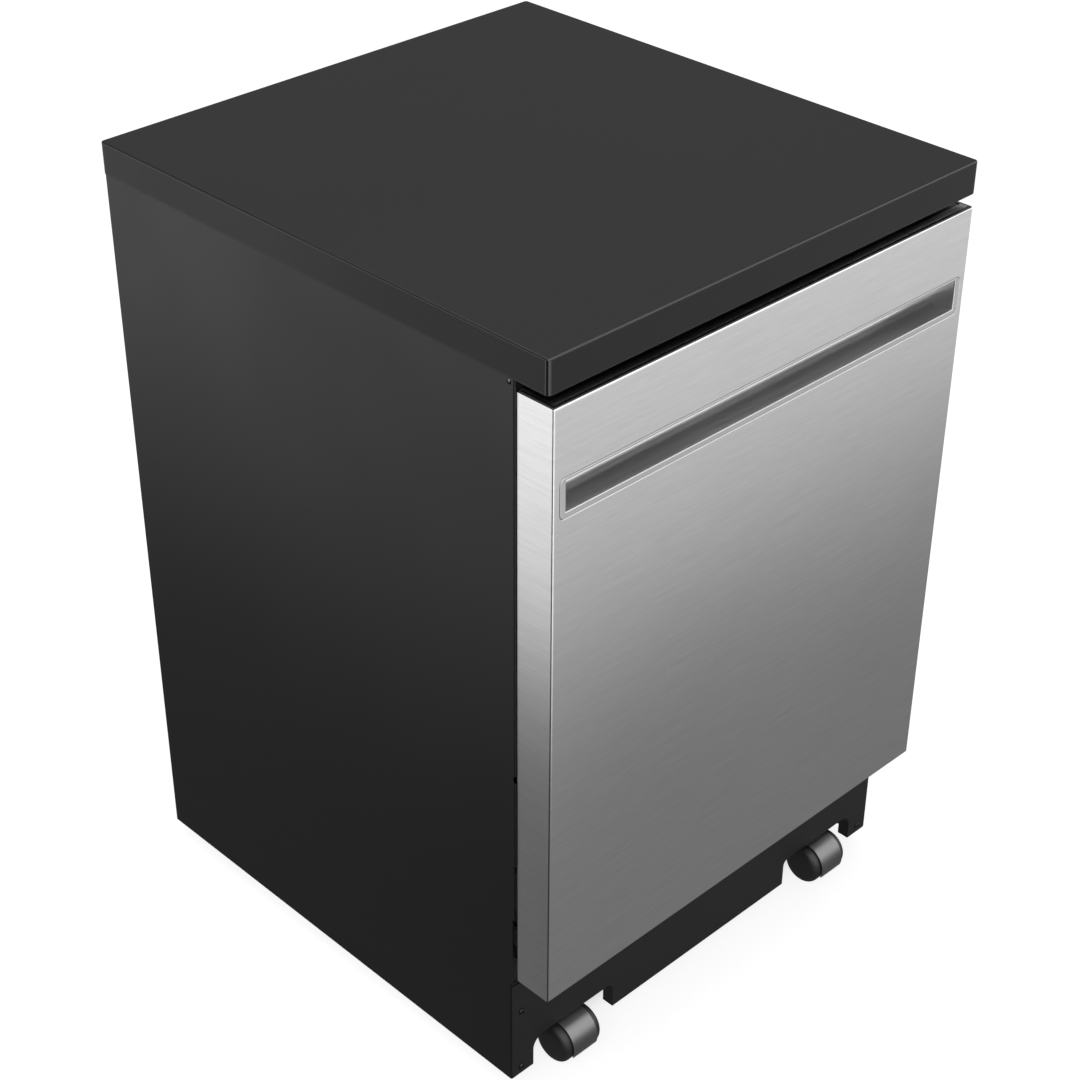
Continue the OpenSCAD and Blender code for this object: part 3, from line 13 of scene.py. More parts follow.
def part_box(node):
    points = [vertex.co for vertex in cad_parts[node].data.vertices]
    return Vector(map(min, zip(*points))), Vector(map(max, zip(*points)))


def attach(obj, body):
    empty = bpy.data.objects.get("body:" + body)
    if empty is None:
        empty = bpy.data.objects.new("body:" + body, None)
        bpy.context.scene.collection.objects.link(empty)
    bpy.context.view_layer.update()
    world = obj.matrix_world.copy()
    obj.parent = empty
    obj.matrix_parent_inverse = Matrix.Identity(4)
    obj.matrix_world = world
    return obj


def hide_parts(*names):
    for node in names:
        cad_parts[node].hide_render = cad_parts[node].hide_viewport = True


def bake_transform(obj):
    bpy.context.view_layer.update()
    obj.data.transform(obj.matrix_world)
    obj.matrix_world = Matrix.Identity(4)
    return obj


bl_info = {
    "name": "Portable Dishwasher",
    "version": (1, 0, 0),
    "blender": (4, 5, 0),
    "location": "View3D > Sidebar > Dishwasher",
    "description": "Finishes, smooth covers, wire racks and fittings for a portable dishwasher",
    "category": "Object",
}

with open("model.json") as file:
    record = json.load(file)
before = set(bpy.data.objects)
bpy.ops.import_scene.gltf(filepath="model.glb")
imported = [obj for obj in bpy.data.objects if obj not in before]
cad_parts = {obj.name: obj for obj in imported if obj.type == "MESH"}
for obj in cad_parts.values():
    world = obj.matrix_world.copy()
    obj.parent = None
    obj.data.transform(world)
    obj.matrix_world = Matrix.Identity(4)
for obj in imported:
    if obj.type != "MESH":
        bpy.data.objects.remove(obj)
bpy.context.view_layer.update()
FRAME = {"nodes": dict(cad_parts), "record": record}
MM = 0.001
BUTTONS = tuple("button_%d" % number for number in range(1, 6))
# The door's skin: its sheet, the depth of its top and bottom returns, and the border that slopes off
SHEET = 0.8 * MM
SKIN_RETURNS = (12 * MM, 20 * MM)
FOLD_DEPTH = 6 * MM
FOLD_SLOPE = math.radians(20)
# The finger space: radii of its floor, back and roof, the turn in degrees where the first two meet, its height over the
# opening and the slope of its floor
SCOOP_WIDE, SCOOP_TIGHT, SCOOP_DOME, SCOOP_TURN, SCOOP_ROOF = 34 * MM, 16 * MM, 24 * MM, 284, 15 * MM
SCOOP_SLOPE = math.radians(16)
# How far the handle's frame stands round the opening, at its ends, its foot and its head
HANDLE_FRAME = (7.5 * MM, 7 * MM, 3 * MM)
# Rows of screws on the rear panel: their number, and how far they stand in from its sides and its ends
REAR_SCREWS = (6, 24 * MM, 12 * MM)
# Distances over which the floor's painted reflection brightens from painted shade by the machine, in front and to the
# left
FRONT_SHADE = (0.7, 1.38)
LEFT_SHADE = (0.78, 1.22)
# From the machine's front left corner, where the painted dark and bright sectors in mirrors start, to its middle
FROM_CORNER = (0.31, 0.33, 0)
# The floor's own emission to the camera, which makes it white; it is cut under the machine as a painted shadow
PAPER_GLOW = 0.85


# ---------- Sizes and colours that a user would change ----------


def number(name, description, default, **settings):
    return FloatProperty(name=name, description=description, default=default, **{"min": 0.0, **settings})


def length(name, description, default):
    return number(name, description, default, unit="LENGTH")


def colour(name, description, *default):
    return FloatVectorProperty(
        name=name, description=description, default=default, min=0.0, max=1.0, subtype="COLOR"
    )


class DishwasherSizes(PropertyGroup):
    """Radii and wires of the dressed pieces."""

    worktop_corner: length("Worktop corner", "Radius of the worktop's upright corners", 4 * MM)
    worktop_edge: length("Worktop edge", "Radius of the worktop's long edges", 1.8 * MM)
    sheet_edge: length("Sheet edge", "Radius on the edges of folded sheet metal", 0.35 * MM)
    skin_edge: length("Skin edge", "Radius on the folds of the steel door skin", 2.4 * MM)
    moulding_edge: length("Moulding edge", "Radius on the edges of moulded plastic", 0.6 * MM)
    rack_wire: length("Rack wire", "Diameter of the racks' thin wires", 3.6 * MM)
    edge_wire: length("Edge wire", "Diameter of the racks' edge wires", 5 * MM)
    wire_bend: length("Wire bend", "Radius of the bends in the rack wires", 16 * MM)
    wire_pitch: length("Wire pitch", "Distance from one rack wire to the next", 47 * MM)
    tine_height: length("Tine height", "Height of the plate tines", 66 * MM)


class DishwasherColours(PropertyGroup):
    """Base colours of the finishes, as linear values."""

    laminate: colour("Laminate", "The worktop's black laminate", 0.0215, 0.0215, 0.022)
    black_paint: colour("Black paint", "The cabinet's satin paint", 0.0135, 0.0135, 0.0138)
    steel: colour("Steel", "The door's brushed stainless skin", 0.62, 0.62, 0.62)
    silver: colour("Silver", "The handle's satin coat", 0.55, 0.55, 0.55)
    hood: colour("Hood", "The casters' satin hoods", 0.19, 0.19, 0.194)
    tyre: colour("Tyre", "The casters' wheels", 0.016, 0.016, 0.017)
    nylon: colour("Nylon", "The racks' nylon coat", 0.24, 0.25, 0.26)


class DishwasherStage(PropertyGroup):
    """The camera and the lamps."""

    lens: number("Lens", "Focal length", 73.7, min=1, unit="CAMERA")
    azimuth: number("Azimuth", "Camera's turn about Z in degrees", -43.97, min=-360)
    elevation: number("Elevation", "Camera's height angle in degrees", 33.35, min=-90)
    camera_at: FloatVectorProperty(
        name="Camera", description="Place of the camera", default=(-1.4728, -1.5032, 1.8194), unit="LENGTH"
    )
    key_power: number("Key", "Power of the key lamp", 9.5, unit="POWER")
    top_power: number("Top", "Power of the lamp above", 22.0, unit="POWER")
    ambient: number("Ambient", "Strength of the world's light", 0.4)
    # What mirrors see of the floor is a painted reflection, dim close by as painted shade
    floor_near: number("Near floor", "What mirrors see close by", 0.2)
    floor_front: number("Front floor", "What mirrors see in front", 0.74)
    floor_left: number("Left floor", "What mirrors see to the left", 1.6)
    sky_front: number("Front sky", "What mirrors see in front, above", 3.2)


# ---------- Small tools ----------


def sizes():
    return bpy.context.scene.dishwasher_sizes


def colours():
    return bpy.context.scene.dishwasher_colours


def linked(name, data):
    """A new object in the scene, with its data named like it."""
    data.name = name
    piece = bpy.data.objects.new(name, data)
    bpy.context.scene.collection.objects.link(piece)
    return piece


def from_bmesh(name, shape, outward=True):
    if outward:
        bmesh.ops.recalc_face_normals(shape, faces=shape.faces)
    mesh = bpy.data.meshes.new(name)
    shape.to_mesh(mesh)
    shape.free()
    return linked(name, mesh)


def applied(piece):
    """Turns the piece's modifiers into a plain mesh, under the same name."""
    depsgraph = bpy.context.evaluated_depsgraph_get()
    mesh = bpy.data.meshes.new_from_object(piece.evaluated_get(depsgraph))
    name, old = piece.name, piece.data
    bpy.data.objects.remove(piece)
    bpy.data.meshes.remove(old)
    return linked(name, mesh)


def smooth(piece, angle=32):
    """Smooth shading that breaks at edges sharper than the angle and keeps wide faces flat."""
    piece.data.shade_smooth()
    piece.data.set_sharp_from_angle(angle=math.radians(angle))
    weighted = piece.modifiers.new("Weighted", "WEIGHTED_NORMAL")
    weighted.keep_sharp = True
    return applied(piece)


def bevelled(shape, edges, width, segments, **settings):
    """Rounds edges of a bmesh."""
    bmesh.ops.bevel(shape, geom=edges, offset=width, segments=segments, profile=0.5, affect="EDGES", **settings)


def softened(piece, width, segments=2, angle=35, where=None):
    """Rounds the outward edges sharper than the angle, or those that where(start, end) picks."""
    shape = bmesh.new()
    shape.from_mesh(piece.data)
    edges = [
        edge
        for edge in shape.edges
        if len(edge.link_faces) == 2
        and edge.calc_face_angle_signed(0) > math.radians(angle)
        and (where is None or where(edge.verts[0].co, edge.verts[1].co))
    ]
    bevelled(shape, edges, width, segments, offset_type="OFFSET", clamp_overlap=True)
    shape.to_mesh(piece.data)
    shape.free()
    return piece


def cut(piece, cutter, operation="DIFFERENCE"):
    """Takes the cutter away from the piece or adds it, and takes the cutter out of the scene."""
    boolean = piece.modifiers.new("Cut", "BOOLEAN")
    boolean.operation = operation
    boolean.solver = "EXACT"
    boolean.object = cutter
    piece = applied(piece)
    bpy.data.objects.remove(cutter)
    return piece


def traced(node, name):
    """A merged copy of a construction node, with its flat faces whole again."""
    shape = bmesh.new()
    shape.from_mesh(FRAME["nodes"][node].data)
    bmesh.ops.remove_doubles(shape, verts=shape.verts, dist=0.002 * MM)
    bmesh.ops.dissolve_limit(
        shape, angle_limit=math.radians(0.3), verts=shape.verts, edges=shape.edges, delimit=set()
    )
    return from_bmesh(name, shape, outward=False)


def front_of(node, depth=0.2 * MM):
    """The lowest and highest corners of what lies at a node's very front."""
    points = [v.co for v in FRAME["nodes"][node].data.vertices]
    front = min(p.y for p in points) + depth
    points = [p for p in points if p.y < front]
    return tuple(Vector([pick(p[axis] for p in points) for axis in range(3)]) for pick in (min, max))


def joined(name, pieces):
    """One mesh made of several, in place."""
    shape = bmesh.new()
    materials = []
    for piece in pieces:
        start = len(shape.faces)
        shape.from_mesh(piece.data)
        shape.faces.ensure_lookup_table()
        offset = len(materials)
        for face in shape.faces[start:]:
            face.material_index += offset
        materials.extend(piece.data.materials)
        bpy.data.objects.remove(piece)
    whole = from_bmesh(name, shape, outward=False)
    for material in materials:
        whole.data.materials.append(material)
    return whole


def placed(piece, body, material=None, replaces=()):
    """Gives a finished piece its body and its finish, and hides the nodes it stands for."""
    if material:
        piece.data.materials.clear()
        piece.data.materials.append(material)
    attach(piece, body)
    if replaces:
        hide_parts(*replaces)
    return piece


def box_shape(shape, low, high):
    """Adds a box between two corners to a bmesh."""
    made = bmesh.ops.create_cube(shape, size=1.0)["verts"]
    centre = (Vector(low) + Vector(high)) / 2
    size = Vector(high) - Vector(low)
    for vert in made:
        vert.co = Vector(v * s for v, s in zip(vert.co, size)) + centre
    return made


def lathe(name, profile, steps=48, axis="Z"):
    """Turns (radius, height) points about an axis through the origin into a closed mesh."""
    shape = bmesh.new()
    rings = []
    for radius, height in profile:
        if radius < 1e-7:
            rings.append([shape.verts.new((0, 0, height))])
            continue
        turn = [2 * math.pi * i / steps for i in range(steps)]
        rings.append([shape.verts.new((radius * math.cos(a), radius * math.sin(a), height)) for a in turn])
    for one, two in zip(rings, rings[1:]):
        for i in range(steps):
            j = (i + 1) % steps
            corners = [one[i % len(one)], one[j % len(one)], two[j % len(two)], two[i % len(two)]]
            corners = list(dict.fromkeys(corners))
            if len(corners) > 2:
                shape.faces.new(corners)
    for ring in (rings[0], rings[-1]):
        if len(ring) > 2:
            shape.faces.new(ring)
    turns = {"X": ("Y", 90), "-X": ("Y", -90), "Y": ("X", -90), "-Y": ("X", 90)}
    if axis in turns:
        about, angle = turns[axis]
        bmesh.ops.transform(shape, verts=shape.verts, matrix=Matrix.Rotation(math.radians(angle), 4, about))
    return from_bmesh(name, shape)


def extruded(name, outline, low, high, axis):
    """Extrudes a closed outline along X, Y or Z, from low to high."""
    shape = bmesh.new()

    def point(u, v, w):
        return {"X": (w, u, v), "Y": (u, w, v), "Z": (u, v, w)}[axis]

    ends = [[shape.verts.new(point(u, v, w)) for u, v in outline] for w in (low, high)]
    for ring in ends:
        shape.faces.new(ring)
    count = len(outline)
    for i in range(count):
        j = (i + 1) % count
        shape.faces.new((ends[0][i], ends[0][j], ends[1][j], ends[1][i]))
    return from_bmesh(name, shape)


def arc(centre, radius, start, end, steps=8):
    """Points along an arc, in degrees."""
    turns = [math.radians(start + (end - start) * i / steps) for i in range(steps + 1)]
    return [(centre[0] + radius * math.cos(a), centre[1] + radius * math.sin(a)) for a in turns]


def rounded(x0, y0, x1, y1, radius, steps=8):
    """A rectangle with round corners."""
    return (
        arc((x1 - radius, y0 + radius), radius, -90, 0, steps)
        + arc((x1 - radius, y1 - radius), radius, 0, 90, steps)
        + arc((x0 + radius, y1 - radius), radius, 90, 180, steps)
        + arc((x0 + radius, y0 + radius), radius, 180, 270, steps)
    )


# ---------- Node groups for what repeats or follows a path ----------


def added(tree, kind, inputs=(), **settings):
    """A new node with its settings, and each input given a value or a link."""
    node = tree.nodes.new(kind)
    for key, value in settings.items():
        setattr(node, key, value)
    for key, value in dict(inputs).items():
        if isinstance(value, bpy.types.NodeSocket):
            tree.links.new(value, node.inputs[key])
        else:
            node.inputs[key].default_value = value
    return node


def chain(group, start, *steps):
    """Adds nodes one after another, each fed by the one before; a step is (kind, inputs, settings)."""
    out = start
    for kind, *rest in steps:
        inputs, settings = (*rest, {}, {})[:2]
        node = added(group, kind, inputs, **settings)
        if out is not None:
            group.links.new(out, node.inputs[0])
        out = node.outputs[0]
    return out


def new_group(name, *sockets):
    """A node group with a Geometry, the named inputs and a Material, and a function that ends it."""
    group = bpy.data.node_groups.new(name, "GeometryNodeTree")
    for title, kind in (("Geometry", "Geometry"), *sockets, ("Material", "Material")):
        group.interface.new_socket(title, in_out="INPUT", socket_type="NodeSocket" + kind)
    group.interface.new_socket("Geometry", in_out="OUTPUT", socket_type="NodeSocketGeometry")
    given = group.nodes.new("NodeGroupInput").outputs

    def ended(made):
        material = {"Material": given["Material"]}
        made = chain(group, made, ("GeometryNodeRealizeInstances",), ("GeometryNodeSetMaterial", material))
        group.links.new(made, group.nodes.new("NodeGroupOutput").inputs[0])
        return group

    return group, given, ended


def tube(group, path, diameter, resolution):
    """A round tube with closed ends along a curve."""
    radius = chain(group, diameter, ("ShaderNodeMath", {1: 0.5}, {"operation": "MULTIPLY"}))
    ring = chain(group, None, ("GeometryNodeCurvePrimitiveCircle", {"Resolution": resolution, "Radius": radius}))
    return chain(group, path, ("GeometryNodeCurveToMesh", {"Profile Curve": ring, "Fill Caps": True}))


def wires_group():
    """Bends the paths, gives them a round section and repeats them along a step."""
    sockets = (("Diameter", "Float"), ("Bend", "Float"), ("Count", "Int"), ("Step", "Vector"))
    group, given, ended = new_group("Wires", *sockets)
    bend = {"Radius": given["Bend"], "Count": 6, "Limit Radius": True}
    path = chain(
        group, given["Geometry"], ("GeometryNodeMeshToCurve",), ("GeometryNodeFilletCurve", bend, {"mode": "POLY"})
    )
    wire = tube(group, path, given["Diameter"], 10)
    line = {"Count": given["Count"], "Offset": given["Step"]}
    row = chain(group, None, ("GeometryNodeMeshLine", line, {"mode": "OFFSET"}))
    return ended(chain(group, row, ("GeometryNodeInstanceOnPoints", {"Instance": wire})))


def repeated_group():
    """Sets a piece on every point."""
    group, given, ended = new_group("Repeated", ("Unit", "Object"), ("Turn", "Vector"))
    piece = chain(group, given["Unit"], ("GeometryNodeObjectInfo",)).node.outputs["Geometry"]
    turn = chain(group, given["Turn"], ("FunctionNodeEulerToRotation",))
    spread = {"Instance": piece, "Rotation": turn}
    return ended(chain(group, given["Geometry"], ("GeometryNodeInstanceOnPoints", spread)))


def coil_group():
    """A helical spring along Y, from its start on."""
    sockets = (("Turns", "Float"), ("Radius", "Float"), ("Length", "Float"), ("Wire", "Float"), ("Start", "Vector"))
    group, given, ended = new_group("Coil", *sockets)
    spiral = {
        "Resolution": 20, "Rotations": given["Turns"], "Start Radius": given["Radius"],
        "End Radius": given["Radius"], "Height": given["Length"],
    }
    coil = tube(group, chain(group, None, ("GeometryNodeCurveSpiral", spiral)), given["Wire"], 8)
    place = {"Rotation": (-math.pi / 2, 0, 0), "Translation": given["Start"]}
    return ended(chain(group, coil, ("GeometryNodeTransform", place)))


GROUP_MAKERS = {"Wires": wires_group, "Repeated": repeated_group, "Coil": coil_group}


def with_group(piece, kind, **inputs):
    """Runs a node group on the piece and keeps the result as a plain mesh."""
    group = bpy.data.node_groups.get(kind) or GROUP_MAKERS[kind]()
    modifier = piece.modifiers.new(kind, "NODES")
    modifier.node_group = group
    keys = {
        item.name.lower(): item.identifier
        for item in group.interface.items_tree
        if item.item_type == "SOCKET" and item.in_out == "INPUT"
    }
    for key, value in inputs.items():
        modifier[keys[key]] = value
    return applied(piece)


def paths(name, *lines):
    """A mesh of open or closed lines; a line that ends where it starts is closed."""
    shape = bmesh.new()
    for line in lines:
        closed = len(line) > 1 and line[0] == line[-1]
        verts = [shape.verts.new(point) for point in (line[:-1] if closed else line)]
        for one, two in zip(verts, verts[1:] + (verts[:1] if closed else [])):
            shape.edges.new((one, two))
    return from_bmesh(name, shape, outward=False)


def wires(name, slot, diameter, lines, bend=0.0, count=1, step=(0, 0, 0)):
    """Round wires along the lines, repeated count times with a step between them."""
    inputs = {"diameter": diameter, "bend": bend, "count": count, "step": step, "material": finish(slot)}
    return with_group(paths(name, *lines), "Wires", **inputs)


def repeated(name, slot, piece, spots, turn=(0, 0, 0)):
    """The piece at every spot; the piece itself leaves the scene."""
    row = with_group(
        paths(name, *([spot] for spot in spots)), "Repeated", unit=piece, turn=turn, material=finish(slot)
    )
    bpy.data.objects.remove(piece)
    return row


# ---------- Finishes ----------


class Nodes:
    """Adds nodes to a material or a world, each input given a value or a link."""

    def __init__(self, tree, coordinates):
        self.tree = tree
        self.place = self.add("ShaderNodeTexCoord").outputs[coordinates]

    def add(self, kind, inputs=(), **settings):
        return added(self.tree, kind, inputs, **settings)

    def maths(self, operation, one, two=0.0):
        return self.add("ShaderNodeMath", {0: one, 1: two}, operation=operation).outputs[0]

    def rise(self, value, start, end, low, high):
        """Goes smoothly from low at start to high at end."""
        limits = {"Value": value, "From Min": start, "From Max": end, "To Min": low, "To Max": high}
        return self.add("ShaderNodeMapRange", limits, interpolation_type="SMOOTHSTEP").outputs["Result"]


class Finish(Nodes):
    """A material with its even values on the shader's own sockets and its textures on object coordinates."""

    def __init__(self, name, base, roughness, metallic=0.0, **settings):
        self.material = bpy.data.materials.new(name)
        self.material.use_nodes = True
        self.material.diffuse_color = (*base, 1)
        self.base, self.roughness = base, roughness
        super().__init__(self.material.node_tree, "Object")
        self.shader = self.tree.nodes["Principled BSDF"]
        values = {"Base Color": (*base, 1), "Roughness": roughness, "Metallic": metallic, **settings}
        for key, value in values.items():
            self.shader.inputs[key].default_value = value

    def noise(self, scale, stretch=(1, 1, 1), detail=4.0, roughness=0.55):
        mapping = self.add("ShaderNodeMapping", {"Vector": self.place, "Scale": stretch})
        texture = {"Vector": mapping.outputs[0], "Scale": scale, "Detail": detail, "Roughness": roughness}
        return self.add("ShaderNodeTexNoise", texture).outputs["Fac"]

    def cells(self, scale):
        return self.add("ShaderNodeTexVoronoi", {"Vector": self.place, "Scale": scale}, feature="F1").outputs

    def ranged(self, value, low, high):
        """Maps 0.3 to 0.7, where noise mostly lies, to low to high."""
        limits = {"Value": value, "From Min": 0.3, "From Max": 0.7, "To Min": low, "To Max": high}
        return self.add("ShaderNodeMapRange", limits, clamp=True).outputs["Result"]

    def bump(self, height, strength, distance, under=None):
        inputs = {"Height": height, "Strength": strength, "Distance": distance}
        if under:
            inputs["Normal"] = under
        return self.add("ShaderNodeBump", inputs).outputs["Normal"]

    def tinted(self, factor, one, two):
        """Mixes the base colour from one colour to the other."""
        mix = self.add("ShaderNodeMix", data_type="RGBA")
        self.tree.links.new(factor, mix.inputs[0])
        for socket, value in zip([s for s in mix.inputs if s.type == "RGBA"], (one, two)):
            socket.default_value = (*value, 1)
        mixed = next(s for s in mix.outputs if s.type == "RGBA")
        self.tree.links.new(mixed, self.shader.inputs["Base Color"])

    def varied(self, value, tones=None, spread=None, normal=None, gloss=None):
        """Sways the colour and the roughness about their even values, and adds the bump."""
        if tones:
            self.tinted(self.ranged(value, 0, 1), *(shade(self.base, tone) for tone in tones))
        if spread:
            sway = self.ranged(gloss or value, *(self.roughness + step for step in spread))
            self.tree.links.new(sway, self.shader.inputs["Roughness"])
        if normal:
            self.tree.links.new(normal, self.shader.inputs["Normal"])


def shade(base, factor):
    return tuple(min(1.0, c * factor) for c in base)


def brushed(name, base, roughness, grain=(55, 55, 1300), depth=0.05, **settings):
    """Stainless steel with a grain that runs level: it changes fast along Z alone."""
    made = Finish(name, base, roughness, 1.0, **settings)
    fine = made.noise(1.0, grain, detail=3.0)
    broad = made.noise(1.0, tuple(g * 0.22 for g in grain), detail=2.0)
    tone = made.maths("MULTIPLY", made.maths("ADD", fine, broad), 0.5)
    made.varied(tone, (0.90, 1.06), (-0.03, 0.04), made.bump(fine, depth, 0.05 * MM), made.noise(2.4, detail=1.0))


def moulded(name, base, roughness, texture=900.0, depth=0.12, **settings):
    """Moulded plastic: a fine spark texture with slow changes of gloss."""
    made = Finish(name, base, roughness, **settings)
    spark = made.bump(made.noise(texture, detail=2.0), depth, 0.06 * MM)
    made.varied(made.noise(14.0, detail=3.0), (0.93, 1.08), (-0.04, 0.05), spark)


def painted(name, base, roughness, peel=420.0, depth=0.06, **settings):
    """Baked paint on sheet steel: a slight orange peel under an even film."""
    made = Finish(name, base, roughness, **settings)
    skin = made.bump(made.noise(peel, detail=1.0), depth, 0.08 * MM)
    made.varied(made.noise(5.0, detail=2.0), (0.95, 1.05), (-0.03, 0.03), skin)


def pressed(name, base, roughness, **settings):
    """Pressed laminate: a dense pebble of tiny cells."""
    made = Finish(name, base, roughness, **settings)
    pebble = made.bump(made.cells(1500.0)["Distance"], 0.12, 0.05 * MM)
    made.varied(made.noise(3.0, detail=3.0), (0.94, 1.06), (-0.03, 0.04), pebble)


def galvanised(name, base, roughness):
    """Zinc-coated sheet with its spangle."""
    made = Finish(name, base, roughness, 1.0)
    spangle = made.add("ShaderNodeSeparateColor", {"Color": made.cells(130.0)["Color"]}).outputs[0]
    made.tinted(spangle, shade(base, 0.82), shade(base, 1.12))
    made.varied(spangle, spread=(-0.08, 0.1), normal=made.bump(made.noise(260.0), 0.08, 0.05 * MM))


def felted(name, base):
    """Pressed fibre: long tangled hairs over soft lumps."""
    made = Finish(name, base, 0.95)
    hairs = made.noise(700.0, (1, 0.25, 1), detail=6.0)
    lumps = made.bump(made.noise(60.0, detail=4.0), 0.5, 1.2 * MM)
    made.varied(hairs, (0.55, 1.5), normal=made.bump(hairs, 0.7, 0.4 * MM, lumps))


def rubbery(name, base):
    """Rubber with a dull bloom."""
    made = Finish(name, base, 0.8, **{"Specular IOR Level": 0.3})
    grain = made.bump(made.noise(1200.0, detail=2.0), 0.15, 0.05 * MM)
    made.varied(made.noise(90.0, detail=5.0), (0.8, 1.35), (-0.12, 0.06), grain)


def heat_tinted(name, base, brown):
    """Heater tube: drawn steel browned in bands by its own heat."""
    made = Finish(name, base, 0.4, 1.0)
    bands = made.noise(26.0, detail=3.0)
    made.tinted(made.ranged(bands, 0, 1), shade(base, 0.75), brown)
    made.varied(bands, spread=(-0.08, 0.1), normal=made.bump(made.noise(500.0), 0.1, 0.05 * MM))


def plated(name, base, roughness):
    """Plated steel with a light haze."""
    made = Finish(name, base, roughness, 1.0)
    made.varied(made.noise(420.0, detail=3.0), (0.8, 1.2), (-0.06, 0.08))


def make_finishes():
    """Every finish, those for the record's slots under the slot's name."""
    group = colours()
    laminate, black, steel, silver, hood, tyre, nylon = (
        tuple(getattr(group, key))
        for key in ("laminate", "black_paint", "steel", "silver", "hood", "tyre", "nylon")
    )
    level = "Specular IOR Level"
    pressed("worktop_laminate", laminate, 0.5, **{level: 0.2})
    # The worktop's rounded edges: glossier, and painted half as dark as the top, a painted shade line along them
    Finish("laminate_edge", shade(laminate, 0.5), 0.22)
    painted("cabinet_black", black, 0.4, **{level: 0.22})
    painted("kick_black", shade(black, 1.2), 0.5, **{level: 0.35})
    painted("handle_silver", silver, 0.3, 1300.0, 0.03, Metallic=0.85)
    rubbery("black_rubber", (0.018, 0.018, 0.018))
    rubbery("gasket_rubber", (0.06, 0.06, 0.062))
    galvanised("galvanised_steel", (0.5, 0.51, 0.52), 0.42)
    felted("blanket_felt", (0.09, 0.09, 0.085))
    heat_tinted("heater_steel", (0.45, 0.44, 0.42), (0.36, 0.31, 0.24))
    plated("screw_steel", (0.16, 0.16, 0.165), 0.38)
    plated("screw_black", (0.05, 0.05, 0.052), 0.35)
    brushed("tub_steel", (0.62, 0.62, 0.63), 0.24, (40, 1.5, 40), 0.03)
    brushed("filter_steel", (0.45, 0.46, 0.47), 0.3, (300, 300, 10), 0.05)
    brushed("rail_steel", (0.58, 0.59, 0.6), 0.26, (600, 2, 600), 0.03)
    brushed("stainless_steel", steel, 0.3, Anisotropic=0.3)
    for name, base, roughness, *texture in (
        ("bay_plastic", (0.02, 0.02, 0.021), 0.55),
        ("sump_plastic", (0.05, 0.05, 0.054), 0.5),
        ("grey_plastic", (0.3, 0.31, 0.32), 0.4),
        ("pump_plastic", (0.08, 0.08, 0.084), 0.5),
        ("white_plastic", (0.62, 0.62, 0.6), 0.4),
        ("console_plastic", (0.014, 0.014, 0.015), 0.2, 500.0, 0.03),
        ("button_plastic", (0.035, 0.035, 0.038), 0.45),
        ("dispenser_plastic", (0.56, 0.57, 0.565), 0.28, 700.0, 0.04),
        ("lid_plastic", (0.42, 0.43, 0.44), 0.3, 700.0, 0.05),
        ("cap_plastic", (0.1, 0.105, 0.11), 0.42),
        ("basket_plastic", (0.22, 0.23, 0.24), 0.42),
        ("arm_plastic", (0.17, 0.18, 0.19), 0.38),
        ("wheel_plastic", tyre, 0.5, 800.0, 0.12),
    ):
        moulded(name, base, roughness, *texture)
    moulded("rack_nylon", nylon, 0.36, 260.0, 0.1, **{"Coat Weight": 0.15})
    moulded("hood_plastic", hood, 0.36, 1100.0, 0.1, Metallic=0.6)
    Finish("display_glass", (0.004, 0.004, 0.0045), 0.06)
    Finish("light_lens", (0.35, 0.5, 0.36), 0.25)


def finish(slot):
    return bpy.data.materials[slot]


SLOT_OF = {row["node"]: row["material_slot"] for row in FRAME["record"]["subparts"]}
BODY_OF = {node: body for body, nodes in FRAME["record"]["behaviour"]["bodies"].items() for node in nodes}


def standing_for(piece, node):
    """Gives a piece the body and the finish of the node that it stands for, and hides the node."""
    return placed(piece, BODY_OF[node], finish(SLOT_OF[node]), (node,))


def dressed(node, edge=0.0, segments=2, angle=35, where=None):
    """A smooth copy of a node with its outward edges rounded, in its own finish."""
    piece = traced(node, node + ".dressed")
    if edge:
        softened(piece, edge, segments, angle, where)
    return standing_for(smooth(piece), node)


def dress_all(edge, *nodes):
    for node in nodes:
        dressed(node, edge)


# ---------- Operators ----------


class DISHWASHER_OT_finishes(Operator):
    """Make every finish and lay it on the construction nodes"""

    bl_idname = "dishwasher.finishes"
    bl_label = "Finishes"

    def execute(self, context):
        for piece in FRAME["nodes"].values():
            piece.data.materials.clear()
        for old in list(bpy.data.materials):
            bpy.data.materials.remove(old)
        make_finishes()
        for node, piece in FRAME["nodes"].items():
            piece.data.materials.append(finish(SLOT_OF[node]))
        return {"FINISHED"}


class DISHWASHER_OT_cabinet(Operator):
    """Build the worktop, the panels, the kick plate and their screws"""

    bl_idname = "dishwasher.cabinet"
    bl_label = "Cabinet"

    def execute(self, context):
        group = sizes()
        make_worktop(group)
        dress_all(
            group.sheet_edge, "side_panel_left", "side_panel_right", "rear_panel", "access_panel", "kick_plate",
            "base_pan", "support_frame", "hinge_brackets", "latch_strike",
        )
        dress_all(group.moulding_edge, "hose_bay", "rear_glands")
        make_screws()
        return {"FINISHED"}


def make_worktop(group):
    low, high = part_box("worktop")
    shape = bmesh.new()
    box_shape(shape, low, high)

    def rounded_off(width, steps, upright):
        edges = [
            e for e in shape.edges
            if (abs(e.verts[0].co.z - e.verts[1].co.z) > 0.02) == upright and e.calc_face_angle(0) > 1
        ]
        bevelled(shape, edges, width, steps, clamp_overlap=True, material=1)

    rounded_off(group.worktop_corner, 6, True)
    rounded_off(group.worktop_edge, 4, False)
    slab = smooth(from_bmesh("worktop.slab", shape), 40)
    # The bevels carry the second finish, painted darker as a shade line along the edges
    for material in ("worktop_laminate", "laminate_edge"):
        slab.data.materials.append(finish(material))
    placed(slab, "cabinet", replaces=("worktop",))


